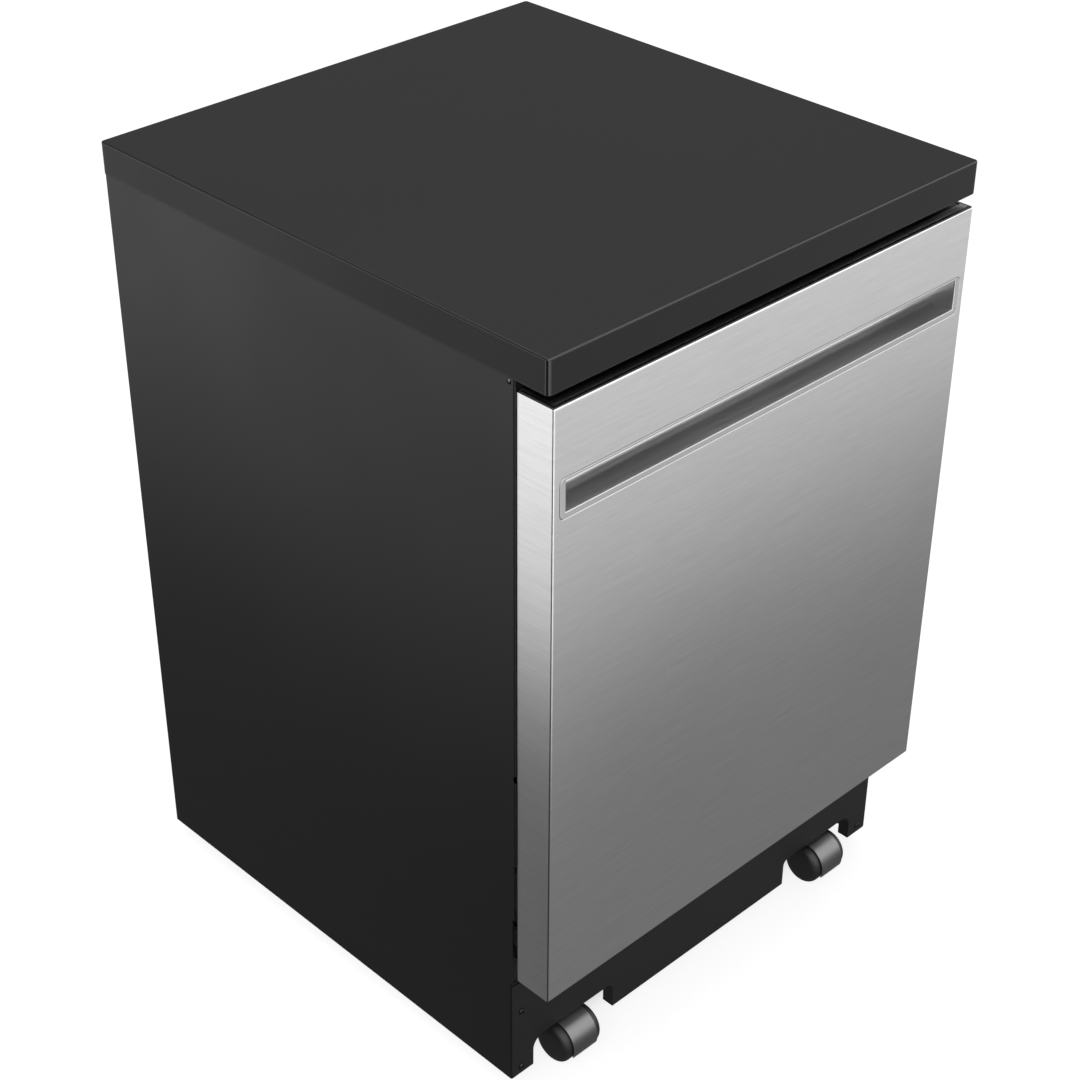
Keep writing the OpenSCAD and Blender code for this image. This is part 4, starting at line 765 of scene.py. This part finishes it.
def screw(name, head=8 * MM, height=2.2 * MM, shank=6 * MM):
    """A pan-head screw that points along +Y, with a cross recess."""
    r = head / 2
    dome = [(r * math.cos(t), height * (0.35 + 0.65 * math.sin(t))) for t in (0, 0.4, 0.8, 1.15, 1.45)]
    piece = lathe(name, [(0, -shank), (2 * MM, -shank), (2 * MM, 0), (r, 0), *dome, (0, height)], 28, "-Y")
    a, b = 0.27 * head, 0.06 * head
    cross = [(a, b), (b, b), (b, a), (-b, a), (-b, b), (-a, b), (-a, -b), (-b, -b), (-b, -a), (b, -a), (b, -b), (a, -b)]
    recess = extruded(name + "_cross", cross, -height - MM, -0.55 * height, "Y")
    return smooth(cut(piece, recess), 30)


def make_screws():
    """The kick plate's four screws, and those of the rear panel."""
    low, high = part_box("kick_screws")
    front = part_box("kick_plate")[0].y
    inset = 4 * MM
    spots = [(x, front, z) for x in (low.x + inset, high.x - inset) for z in (low.z + inset, high.z - inset)]
    row = repeated("kick_screws.heads", "screw_steel", screw("kick_screw"), spots)
    placed(row, "cabinet", finish("screw_black"), ("kick_screws",))
    low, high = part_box("rear_panel")
    rows, side, end = REAR_SCREWS
    columns = (low.x + side, high.x - side)
    heights = [low.z + end + (high.z - low.z - 2 * end) * i / (rows - 1) for i in range(rows)]
    spots = [(x, high.y, z) for x in columns for z in heights]
    small = screw("rear_screw", 7 * MM, 1 * MM, 3 * MM)
    row = repeated("rear_screws.heads", "screw_steel", small, spots, (0, 0, math.pi))
    placed(row, "cabinet")


class DISHWASHER_OT_door(Operator):
    """Build the door's skin, handle, console, liner and dispenser"""

    bl_idname = "dishwasher.door"
    bl_label = "Door"

    def execute(self, context):
        group = sizes()
        make_skin(group)
        make_pocket()
        dressed("door_liner", 0.8 * MM)
        dress_all(
            group.moulding_edge, "console", "dispenser_body", "latch_body", "latch_claw", "dispenser_lid", "rinse_cap"
        )
        dress_all(0.4 * MM, *BUTTONS)
        dressed("hinge_arms", group.sheet_edge)
        dressed("door_bottom_seal", 1.2 * MM, 3)
        make_console_marks()
        return {"FINISHED"}


def make_skin(group):
    """The door's skin, formed from one sheet: folded sides and returns, and a hole with rolled edges."""
    low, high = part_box("door_skin")
    sheet, slack = SHEET, 1 * MM

    def formed(name, inset, back, fold):
        """A block with sloped upper borders and round front edges, with its faces moved in by the inset."""
        slope, secant = math.tan(FOLD_SLOPE), 1 / math.cos(FOLD_SLOPE)
        front = low.y + inset
        border = high.z - (FOLD_DEPTH - inset) * slope - inset * secant
        deep = FOLD_DEPTH + inset * (secant - 1) / slope
        shape = bmesh.new()
        rings = [
            [shape.verts.new(at) for at in ((x, back, z), (x, y, z), (-x, y, z), (-x, back, z))]
            for x, y, z in (
                (high.x - inset, front, low.z + inset),
                (high.x - inset, front, border),
                (high.x - deep, low.y + deep, high.z - inset),
            )
        ]
        for one, two in zip(rings, rings[1:]):
            for i in range(3):
                shape.faces.new((one[i], one[i + 1], two[i + 1], two[i]))
        shape.faces.new(rings[0])
        shape.faces.new(rings[2])
        shape.faces.new([ring[0] for ring in rings] + [ring[3] for ring in reversed(rings)])
        bmesh.ops.recalc_face_normals(shape, faces=shape.faces)
        edges = [e for e in shape.edges if all(abs(v.co.y - front) < 0.01 * MM for v in e.verts)]
        bevelled(shape, edges, fold, 6)
        return from_bmesh(name, shape)

    piece = formed("skin", 0, high.y, group.skin_edge)
    piece = cut(piece, formed("hollow", sheet, high.y + slack, group.skin_edge - sheet))
    for z0, z1, depth in (
        (high.z - 4 * sheet, high.z + slack, SKIN_RETURNS[0]), (low.z - slack, low.z + 2 * sheet, SKIN_RETURNS[1])
    ):
        shape = bmesh.new()
        side = depth / 2 if z1 > high.z else sheet
        box_shape(shape, (low.x + side, low.y + depth, z0), (high.x - side, high.y + slack, z1))
        piece = cut(piece, from_bmesh("gap", shape))
    a, b = front_of("handle_pocket")
    gap = 0.2 * MM
    hole = rounded(a.x - gap, a.z - gap, b.x + gap, b.z + gap, 6 * MM + gap)
    piece = cut(piece, extruded("hole", hole, low.y - slack, low.y + 3 * MM, "Y"))

    def rim(one, two):
        return all(
            abs(c.y - low.y) < 0.01 * MM and a.x - MM < c.x < b.x + MM and a.z - MM < c.z < b.z + MM
            for c in (one, two)
        )

    softened(piece, 1 * MM, 4, 35, rim)
    piece.name = "door_skin.formed"
    standing_for(smooth(piece), "door_skin")


def scoop(grow, front, back, lip, top):
    """Section of the finger space, grown outwards: a floor that curves up into the back wall, and a roof."""
    wide, tight, turn, slope, roof = SCOOP_WIDE, SCOOP_TIGHT, SCOOP_TURN, SCOOP_SLOPE, top + SCOOP_ROOF
    tight_y = back - tight
    wide_y = tight_y - (wide - tight) * math.cos(math.radians(turn))
    start_y = wide_y - wide * math.sin(slope)
    wide_z = lip - (start_y - front) * math.tan(slope) + wide * math.cos(slope)
    tight_z = wide_z + (wide - tight) * math.sin(math.radians(turn))
    edge, overlap = (MM, 0.5 * MM) if grow else (-MM, 0)
    strip = front + 3 * MM - grow
    dome = min(SCOOP_DOME, roof - tight_z)
    return [
        (front + edge, lip - edge * math.tan(slope) - grow / math.cos(slope)),
        *arc((wide_y, wide_z), wide + grow, 270 - math.degrees(slope), turn, 14),
        *arc((tight_y, tight_z), tight + grow, turn, 360, 18)[1:],
        *arc((back - dome, roof - dome), dome + grow, 0, 90, 14),
        (strip, roof + grow), (strip, top - overlap), (front + edge, top + overlap),
    ]


def make_pocket():
    """The handle: a slim frame round a scoop for the fingers."""
    low, high = front_of("handle_pocket")
    wall = 1.6 * MM
    front, back = low.y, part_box("handle_pocket")[1].y - wall
    end, lip, top = high.x - HANDLE_FRAME[0], low.z + HANDLE_FRAME[1], high.z - HANDLE_FRAME[2]
    outline = rounded(low.x, low.z, high.x, high.z, 6 * MM, 10)
    piece = softened(extruded("pocket", outline, front, front + 1.7 * MM, "Y"), 0.4 * MM, 3, 60)
    shell = extruded("shell", scoop(wall, front, back, lip, top), -end - wall, end + wall, "X")
    piece = cut(piece, shell, "UNION")
    piece = cut(piece, extruded("fingers", scoop(0, front, back, lip, top), -end, end, "X"))

    def inner(one, two):
        return all(
            abs(c.y - front) < 0.02 * MM and abs(c.x) < end + MM and lip - MM < c.z < top + MM for c in (one, two)
        )

    softened(piece, 1.3 * MM, 5, 35, inner)
    piece.name = "handle_pocket.formed"
    standing_for(smooth(piece), "handle_pocket")


def make_console_marks():
    """A display window beside the buttons, and a light for each button."""
    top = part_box("console")[1].z
    buttons = [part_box(button) for button in BUTTONS]
    window_x = buttons[-1][1].x + 24 * MM
    middle = (buttons[0][0].y + buttons[0][1].y) / 2
    outline = rounded(window_x, middle - 6 * MM, window_x + 64 * MM, middle + 6 * MM, 2 * MM, 4)
    window = softened(extruded("console_window", outline, top, top + 0.4 * MM, "Z"), 0.2 * MM)
    placed(smooth(window), "door", finish("display_glass"))
    light = lathe("light", [(0, 0), (1.1 * MM, 0), (0.9 * MM, 0.35 * MM), (0, 0.5 * MM)], 16)
    spots = [((low.x + high.x) / 2, high.y + 2.6 * MM, top) for low, high in buttons]
    row = repeated("console_lights", "button_plastic", smooth(light), spots)
    placed(row, "door", finish("light_lens"))


class DISHWASHER_OT_tub(Operator):
    """Build the tub, its seal and blanket, the sump and what stands in it"""

    bl_idname = "dishwasher.tub"
    bl_label = "Tub"

    def execute(self, context):
        group = sizes()
        dressed("tub", 0.5 * MM)
        dressed("tub_gasket", 1.5 * MM, 3)
        dress_all(group.moulding_edge, "sump", "feed_tube", "circulation_pump", "drain_pump", "inlet_valve")
        dress_all(0.3 * MM, "coarse_filter", "fine_filter", "heating_element", "rack_brackets")
        make_float()
        make_blanket()
        make_springs()
        return {"FINISHED"}


def make_float():
    """A domed cap over a stem, with a skirt."""
    low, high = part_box("float")
    x, y = (low.x + high.x) / 2, (low.y + high.y) / 2
    r = (high.x - low.x) / 2
    skirt, dome = high.z - 22 * MM, 6 * MM
    profile = [
        (0, low.z), (4 * MM, low.z), (4 * MM, skirt), (r - 0.6 * MM, skirt), (r, skirt + 0.6 * MM),
        *[(r + dome * (math.cos(t) - 1), high.z + dome * (math.sin(t) - 1)) for t in (0, 0.4, 0.8, 1.2, 1.57)],
        (5 * MM, high.z), (4 * MM, high.z - MM), (0, high.z - MM),
    ]
    piece = lathe("float.dressed", profile, 56)
    piece.data.transform(Matrix.Translation((x, y, 0)))
    standing_for(smooth(piece), "float")


def make_blanket():
    """A felt blanket with an uneven face, soft at its edges."""
    piece = softened(traced("insulation_blanket", "insulation_blanket.felt"), 2.5 * MM, 3)
    shape = bmesh.new()
    shape.from_mesh(piece.data)
    for axis in range(3):
        low = min(v.co[axis] for v in shape.verts)
        high = max(v.co[axis] for v in shape.verts)
        at = low + 12 * MM
        while at < high:
            place, normal = Vector((0, 0, 0)), Vector((0, 0, 0))
            place[axis], normal[axis] = at, 1
            everything = shape.verts[:] + shape.edges[:] + shape.faces[:]
            bmesh.ops.bisect_plane(shape, geom=everything, plane_co=place, plane_no=normal)
            at += 12 * MM
    shape.normal_update()
    for vert in shape.verts:
        sway = noise.noise(vert.co * 34) * 0.7 + noise.noise(vert.co * 90) * 0.3
        vert.co += vert.normal * (sway - 0.9) * 0.8 * MM
    shape.to_mesh(piece.data)
    shape.free()
    piece.data.shade_smooth()
    standing_for(piece, "insulation_blanket")


def make_springs():
    """A coiled spring on each side, with a hook at each end."""
    low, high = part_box("door_springs")
    pin, wire, coil, arm = 3 * MM, 2.4 * MM, 7 * MM, 3.2 * MM
    z = (low.z + high.z) / 2
    start, end = low.y + pin / 2, high.y - pin / 2
    coil_start, coil_end = start + 24 * MM, end - 28 * MM
    parts = []
    for side in (-1, 1):
        x = side * (high.x - 4 * MM)
        r = coil - wire / 2
        parts.append(
            with_group(
                paths("coil", [(0, 0, 0), (0, 0, MM)]), "Coil", turns=56.0, radius=r, length=coil_end - coil_start,
                wire=wire, start=(x, coil_start, z), material=finish("screw_steel"),
            )
        )
        hooks = [
            [
                (x + r, coil_at, z), (x + 2 * MM, coil_at + way * 5, z), (x + arm, at, z),
                (x + arm, at + way * 3.4, z), (x - arm, at + way * 3.4, z), (x - arm, at - way * 4, z),
            ]
            for at, coil_at, way in ((start, coil_start, -MM), (end, coil_end, MM))
        ]
        parts.append(wires("hooks", "screw_steel", wire, hooks, 2 * MM))
    springs = smooth(joined("door_springs.coils", parts), 50)
    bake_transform(springs)
    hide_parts("door_springs")


class DISHWASHER_OT_racks(Operator):
    """Build the wire racks, the silverware basket and the spray arms"""

    bl_idname = "dishwasher.racks"
    bl_label = "Racks and arms"

    def execute(self, context):
        group = sizes()
        make_rack("upper_rack", group, [-118 * MM, 118 * MM], 0.6, 30 * MM)
        make_rack("lower_rack", group, [(-200 + 84 * i) * MM for i in range(4)], 1.0, 30 * MM)
        dressed("upper_rack_rails", group.sheet_edge)
        dressed("upper_feed_pipe", group.moulding_edge)
        make_basket()
        make_rack_wheels()

        def long_edge(a, b):
            return (a - b).length > 3.2 * MM

        for node in ("upper_spray_arm", "lower_spray_arm"):
            dressed(node, 2.6 * MM, 4, 50, long_edge)
        return {"FINISHED"}


def places(start, end, pitch):
    """Even places from start to end, no further apart than the pitch."""
    count = math.ceil((end - start) / pitch - 1e-6)
    return [start + (end - start) * i / count for i in range(count + 1)]


def make_rack(node, group, tine_columns, tine_share, tine_in):
    """A basket of bent wires: edge rings, U-shaped wires both ways and rows of tines."""
    low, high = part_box(node)
    if node == "lower_rack":
        low.z = high.z - 130 * MM
        low.x, high.x = -250 * MM, 250 * MM
    wire, edge = group.rack_wire, group.edge_wire
    x = high.x - edge / 2
    y0, y1 = low.y + edge / 2, high.y - edge / 2
    top, floor = high.z - edge / 2, low.z + wire / 2
    slot = SLOT_OF[node]
    inner = (edge + wire) / 2 * 0.9

    def ring(name, z, diameter, inset):
        a, b, c = x - inset, y0 + inset, y1 - inset
        loop = [(-a, b, z), (a, b, z), (a, c, z), (-a, c, z), (-a, b, z)]
        return wires(name, slot, diameter, [loop], 22 * MM)

    middle = (low.z + high.z) / 2
    parts = [
        ring("top_ring", top, edge, 0), ring("middle_ring", middle, wire, 0),
        ring("low_ring", floor + wire, wire, inner + group.wire_bend * 0.3),
    ]
    columns = places(-x, x, group.wire_pitch)[1:-1]
    step = columns[1] - columns[0]
    a, b = y0 + inner, y1 - inner
    loop = [(columns[0], a, top), (columns[0], a, floor), (columns[0], b, floor), (columns[0], b, top)]
    parts.append(wires("along", slot, wire, [loop], group.wire_bend, len(columns), (step, 0, 0)))
    rows = places(y0, y1, group.wire_pitch)[1:-1]
    step = rows[1] - rows[0]
    c, y, low_z = x - inner, rows[0], floor + wire
    loop = [(-c, y, top), (-c, y, low_z), (c, y, low_z), (c, y, top)]
    parts.append(wires("across", slot, wire, [loop], group.wire_bend, len(rows), (0, step, 0)))
    height = group.tine_height * tine_share
    base = floor + 1.9 * wire
    tip = [(wire / 2 * math.cos(t), height - wire / 2 + wire / 2 * math.sin(t)) for t in (0, 0.5, 1.0, 1.4)]
    tine = smooth(lathe("tine", [(0, 0), (wire / 2, 0), *tip, (0, height)], 10), 60)
    ends = (low.y + tine_in, high.y - tine_in)
    rows = places(ends[0] + 8 * MM, ends[1] - 8 * MM, group.wire_pitch)
    spots = [(column, row, base) for column in tine_columns for row in rows]
    parts.append(repeated("tines", slot, tine, spots))
    lines = [[(column, ends[0], base), (column, ends[1], base)] for column in tine_columns]
    parts.append(wires("tine_bases", slot, wire, lines))
    if node == "lower_rack":
        parts.append(make_legs(slot, floor))
    rack = smooth(joined(node + ".wires", parts), 50)
    placed(rack, BODY_OF[node], replaces=(node,))


def make_legs(slot, floor):
    """The brackets and axles of the lower rack's wheels."""
    shape = bmesh.new()
    front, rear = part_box("rack_wheels_front"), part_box("rack_wheels_rear")
    axle_z = (front[0].z + front[1].z) / 2
    outer = front[1].x
    for low, high in (front, rear):
        y = (low.y + high.y) / 2
        for side in (-1, 1):
            xs = sorted((side * (outer - 15 * MM), side * (outer - 11 * MM)))
            box_shape(shape, (xs[0], y - 13 * MM, axle_z - 8 * MM), (xs[1], y + 13 * MM, floor))
    legs = softened(from_bmesh("legs", shape), 1.4 * MM, 3)
    lines = [
        [(side * (outer + reach), (low.y + high.y) / 2, axle_z) for reach in (-12 * MM, 2 * MM)]
        for side in (-1, 1)
        for low, high in (front, rear)
    ]
    axles = wires("axles", slot, 6 * MM, lines)
    legs.data.materials.append(finish(slot))
    return joined("legs_and_axles", [legs, axles])


def make_basket():
    """The silverware basket with rows of slots through its walls."""
    low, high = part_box("silverware_basket")
    piece = traced("silverware_basket", "silverware_basket.slotted")
    shape = bmesh.new()
    for z0 in (low.z + 8 * MM, low.z + 42 * MM, low.z + 76 * MM):
        z1 = z0 + 26 * MM
        for y in places(low.y + 9 * MM, high.y - 9 * MM, 9 * MM):
            box_shape(shape, (low.x - MM, y - 2.6 * MM, z0), (low.x + 2.5 * MM, y + 2.6 * MM, z1))
            box_shape(shape, (high.x - 2.5 * MM, y - 2.6 * MM, z0), (high.x + MM, y + 2.6 * MM, z1))
        for x in places(low.x + 9 * MM, high.x - 9 * MM, 9 * MM):
            box_shape(shape, (x - 2.6 * MM, low.y - MM, z0), (x + 2.6 * MM, low.y + 2.5 * MM, z1))
            box_shape(shape, (x - 2.6 * MM, high.y - 2.5 * MM, z0), (x + 2.6 * MM, high.y + MM, z1))
    piece = cut(piece, from_bmesh("slots", shape))
    standing_for(smooth(piece), "silverware_basket")


def wheel_pair(profile, steps, centre, apart=0.0):
    """Two mirrored wheels, turned about the X axis."""
    pair = []
    for side, axis in ((-1, "-X"), (1, "X")):
        wheel = lathe("wheel", profile, steps, axis)
        wheel.data.transform(Matrix.Translation(centre + Vector((side * apart, 0, 0))))
        pair.append(wheel)
    return pair


def make_rack_wheels():
    for node in ("rack_wheels_front", "rack_wheels_rear"):
        low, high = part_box(node)
        r = (high.z - low.z) / 2
        w = 9 * MM
        profile = [
            (3.1 * MM, 0), (r - 1.5 * MM, 0), (r - 0.4 * MM, 0.5 * MM), (r, 1.6 * MM), (r, w - 1.6 * MM),
            (r - 0.4 * MM, w - 0.5 * MM), (r - 1.5 * MM, w), (r - 3 * MM, w), (r - 4 * MM, w - 3 * MM),
            (7 * MM, w - 3 * MM), (6 * MM, w), (3.1 * MM, w), (3.1 * MM, 0),
        ]
        wheels = wheel_pair(profile, 48, (low + high) / 2, high.x - w)
        standing_for(smooth(joined(node + ".turned", wheels)), node)


class DISHWASHER_OT_casters(Operator):
    """Build the four casters"""

    bl_idname = "dishwasher.casters"
    bl_label = "Casters"

    def execute(self, context):
        for end in ("fl", "fr", "rl", "rr"):
            dressed("caster_hood_" + end, 0.5 * MM, 3)
            make_caster_wheels("caster_wheels_" + end)
        return {"FINISHED"}


def make_caster_wheels(node):
    """Two wheels with smooth domed faces on one axle."""
    low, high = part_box(node)
    r = (high.z - low.z) / 2
    centre = (low + high) / 2
    inner, outer = 2.6 * MM, high.x - centre.x
    shoulder = 9 * MM
    dome = [
        (r * math.cos(t) ** 0.42, outer - shoulder + shoulder * math.sin(t) ** 0.9)
        for t in [math.radians(5 * i) for i in range(18)]
    ]
    profile = [
        (0, inner), (r - 2 * MM, inner), (r - 0.6 * MM, inner + 0.6 * MM), (r, inner + 2 * MM), *dome, (0, outer)
    ]
    axle = lathe("axle", [(0, -3.4 * MM), (3 * MM, -3.4 * MM), (3 * MM, 3.4 * MM), (0, 3.4 * MM)], 32, "X")
    axle.data.transform(Matrix.Translation(centre))
    wheels = joined(node + ".turned", [*wheel_pair(profile, 80, centre), axle])
    standing_for(smooth(wheels, 30), node)


class DISHWASHER_OT_stage(Operator):
    """Set the floor, the lamps, the world and the camera"""

    bl_idname = "dishwasher.stage"
    bl_label = "Stage"

    def execute(self, context):
        setting = context.scene.dishwasher_stage
        make_camera(context, setting)
        make_floor(setting)
        make_world(context, setting)
        make_lamps(setting)
        context.scene.view_settings.view_transform = "Standard"
        return {"FINISHED"}


def make_camera(context, setting):
    data = bpy.data.cameras.new("camera")
    camera = linked("camera", data)
    data.lens = setting.lens
    data.sensor_width = 36.0
    data.shift_x = 0.0181
    data.shift_y = 0.0116
    data.clip_start = 0.05
    camera.location = setting.camera_at
    turn, tilt = math.radians(-setting.azimuth), math.radians(setting.elevation)
    forward = Vector((math.sin(turn) * math.cos(tilt), math.cos(turn) * math.cos(tilt), -math.sin(tilt)))
    camera.rotation_mode = "QUATERNION"
    camera.rotation_quaternion = forward.to_track_quat("-Z", "Y")
    context.scene.camera = camera


def make_floor(setting):
    """A pale floor, white to the camera; mirrors see a painted reflection that rises from painted shade by the machine
    to white.
    """
    shape = bmesh.new()
    bmesh.ops.create_grid(shape, x_segments=1, y_segments=1, size=6.0)
    floor = from_bmesh("floor", shape, outward=False)
    floor.location.z = -0.0005
    paper = Finish("floor_paper", (0.5, 0.5, 0.5), 0.9, **{"Specular IOR Level": 0.0})
    maths = paper.maths
    place = paper.add("ShaderNodeSeparateXYZ", {"Vector": paper.place}).outputs

    def vectors(operation, one, two=(0, 0, 0)):
        return paper.add("ShaderNodeVectorMath", {0: one, 1: two}, operation=operation).outputs

    def rise(value, start, end, far):
        return paper.rise(value, start, end, 0.0, far)

    front = rise(place["Y"], -FRONT_SHADE[0], -FRONT_SHADE[1], setting.floor_front)
    left = rise(place["X"], -LEFT_SHADE[0], -LEFT_SHADE[1], setting.floor_left)
    # A painted dark sector to the left in what mirrors see, a painted reflection which shows as a line along the
    # upright edges
    way = vectors("NORMALIZE", vectors("ADD", paper.place, FROM_CORNER)[0])[0]

    def towards(x, y, start, end, far):
        return rise(vectors("DOT_PRODUCT", way, (x, y, 0))["Value"], start, end, far)

    dark = towards(-0.978, -0.208, 0.743, 0.85, 0.94)
    # A painted bright sector in front, in what mirrors see
    front = maths("MULTIPLY", front, maths("ADD", 1.0, towards(-0.208, -0.978, 0.9, 0.96, 1.2)))
    away = rise(vectors("LENGTH", paper.place)["Value"], 1.4, 2.4, 0.6)
    bright = maths("MAXIMUM", maths("ADD", front, left), away)
    bright = maths("ADD", bright, rise(place["Y"], -2.0, -3.6, 0.6))
    # Painted shade by the machine: mirrors see the floor dim close by, a little brighter in front
    near = maths("ADD", rise(place["Y"], -0.25, -0.5, 0.07), setting.floor_near)
    seen = maths("MULTIPLY", maths("ADD", bright, near), maths("SUBTRACT", 1.0, dark))
    rays = paper.add("ShaderNodeLightPath").outputs
    mirror = maths("MAXIMUM", rays["Is Glossy Ray"], rays["Is Transmission Ray"])

    # Painted shadow under the machine: the white to the camera is cut over its footprint
    def painted_shadow_mask(axis, half):
        return rise(maths("ABSOLUTE", place[axis]), half, half - 0.08, 1.0)

    under = maths("MULTIPLY", painted_shadow_mask("X", 0.28), painted_shadow_mask("Y", 0.26))
    eye = maths("MULTIPLY", rays["Is Camera Ray"], maths("SUBTRACT", PAPER_GLOW, maths("MULTIPLY", under, PAPER_GLOW)))
    # Mirrors see a painted reflection, an emission that paints shade by the machine and a brighter floor away from it
    painted_reflection_glow, white = (paper.add("ShaderNodeEmission", {"Strength": strength}).outputs[0] for strength in (seen, eye))
    lit = paper.add("ShaderNodeAddShader", {0: paper.shader.outputs[0], 1: white}).outputs[0]
    mixed = paper.add("ShaderNodeMixShader", {"Fac": mirror, 1: lit, 2: painted_reflection_glow}).outputs[0]
    paper.tree.links.new(mixed, paper.tree.nodes["Material Output"].inputs["Surface"])
    floor.data.materials.append(paper.material)


def make_world(context, setting):
    """White to the camera, even light all round, and a bright front sky over a dimmer rear for mirrors."""
    world = bpy.data.worlds.new("studio")
    context.scene.world = world
    world.use_nodes = True
    world.node_tree.nodes.clear()
    nodes = Nodes(world.node_tree, "Generated")
    way = nodes.add("ShaderNodeSeparateXYZ", {"Vector": nodes.place}).outputs
    rays = nodes.add("ShaderNodeLightPath").outputs
    front = nodes.rise(way["Y"], 0.1, -0.4, 0.0, setting.sky_front)
    sky = nodes.maths("MAXIMUM", nodes.rise(way["Z"], -0.05, 0.3, setting.ambient * 0.5, front), setting.ambient)
    seen = nodes.maths("MAXIMUM", rays["Is Camera Ray"], rays["Is Transmission Ray"])
    even, mirrored = (
        nodes.add("ShaderNodeBackground", {"Strength": strength}).outputs[0] for strength in (setting.ambient, sky)
    )
    white = nodes.add("ShaderNodeBackground", {"Strength": 1.0, "Color": (1, 1, 1, 1)}).outputs[0]
    lit = nodes.add("ShaderNodeMixShader", {"Fac": rays["Is Glossy Ray"], 1: even, 2: mirrored}).outputs[0]
    whole = nodes.add("ShaderNodeMixShader", {"Fac": seen, 1: lit, 2: white}).outputs[0]
    nodes.tree.links.new(whole, nodes.add("ShaderNodeOutputWorld").inputs["Surface"])


def make_lamps(setting):
    for name, at, size, power in (
        ("key", (-1.9, -1.2, 2.1), 1.6, setting.key_power),
        ("top", (0.3, 0.4, 2.9), 2.4, setting.top_power),
    ):
        data = bpy.data.lights.new(name, "AREA")
        data.shape = "SQUARE"
        data.size = size
        data.energy = power
        lamp = linked(name, data)
        lamp.location = at
        lamp.rotation_mode = "QUATERNION"
        lamp.rotation_quaternion = (Vector((0, 0, 0.5)) - Vector(at)).to_track_quat("-Z", "Y")


class DISHWASHER_PT_panel(Panel):
    """Sizes, colours and steps of the dishwasher"""

    bl_idname = "DISHWASHER_PT_panel"
    bl_label = "Portable Dishwasher"
    bl_space_type = "VIEW_3D"
    bl_region_type = "UI"
    bl_category = "Dishwasher"

    def draw(self, context):
        layout = self.layout
        for group in (context.scene.dishwasher_sizes, context.scene.dishwasher_colours, context.scene.dishwasher_stage):
            column = layout.column(align=True)
            for key in group.bl_rna.properties.keys():
                if key not in ("rna_type", "name"):
                    column.prop(group, key)
        for step in STEPS:
            layout.operator(step.bl_idname)


GROUPS = (DishwasherSizes, DishwasherColours, DishwasherStage)
STEPS = (
    DISHWASHER_OT_finishes,
    DISHWASHER_OT_cabinet,
    DISHWASHER_OT_door,
    DISHWASHER_OT_tub,
    DISHWASHER_OT_racks,
    DISHWASHER_OT_casters,
    DISHWASHER_OT_stage,
)


def register():
    for item in (*GROUPS, *STEPS, DISHWASHER_PT_panel):
        bpy.utils.register_class(item)
    bpy.types.Scene.dishwasher_sizes = PointerProperty(type=DishwasherSizes)
    bpy.types.Scene.dishwasher_colours = PointerProperty(type=DishwasherColours)
    bpy.types.Scene.dishwasher_stage = PointerProperty(type=DishwasherStage)


def unregister():
    del bpy.types.Scene.dishwasher_stage
    del bpy.types.Scene.dishwasher_colours
    del bpy.types.Scene.dishwasher_sizes
    for item in reversed((*GROUPS, *STEPS, DISHWASHER_PT_panel)):
        bpy.utils.unregister_class(item)


def main():
    register()
    for step in STEPS:
        group, name = step.bl_idname.split(".")
        getattr(getattr(bpy.ops, group), name)()


if __name__ == "__main__":
    main()
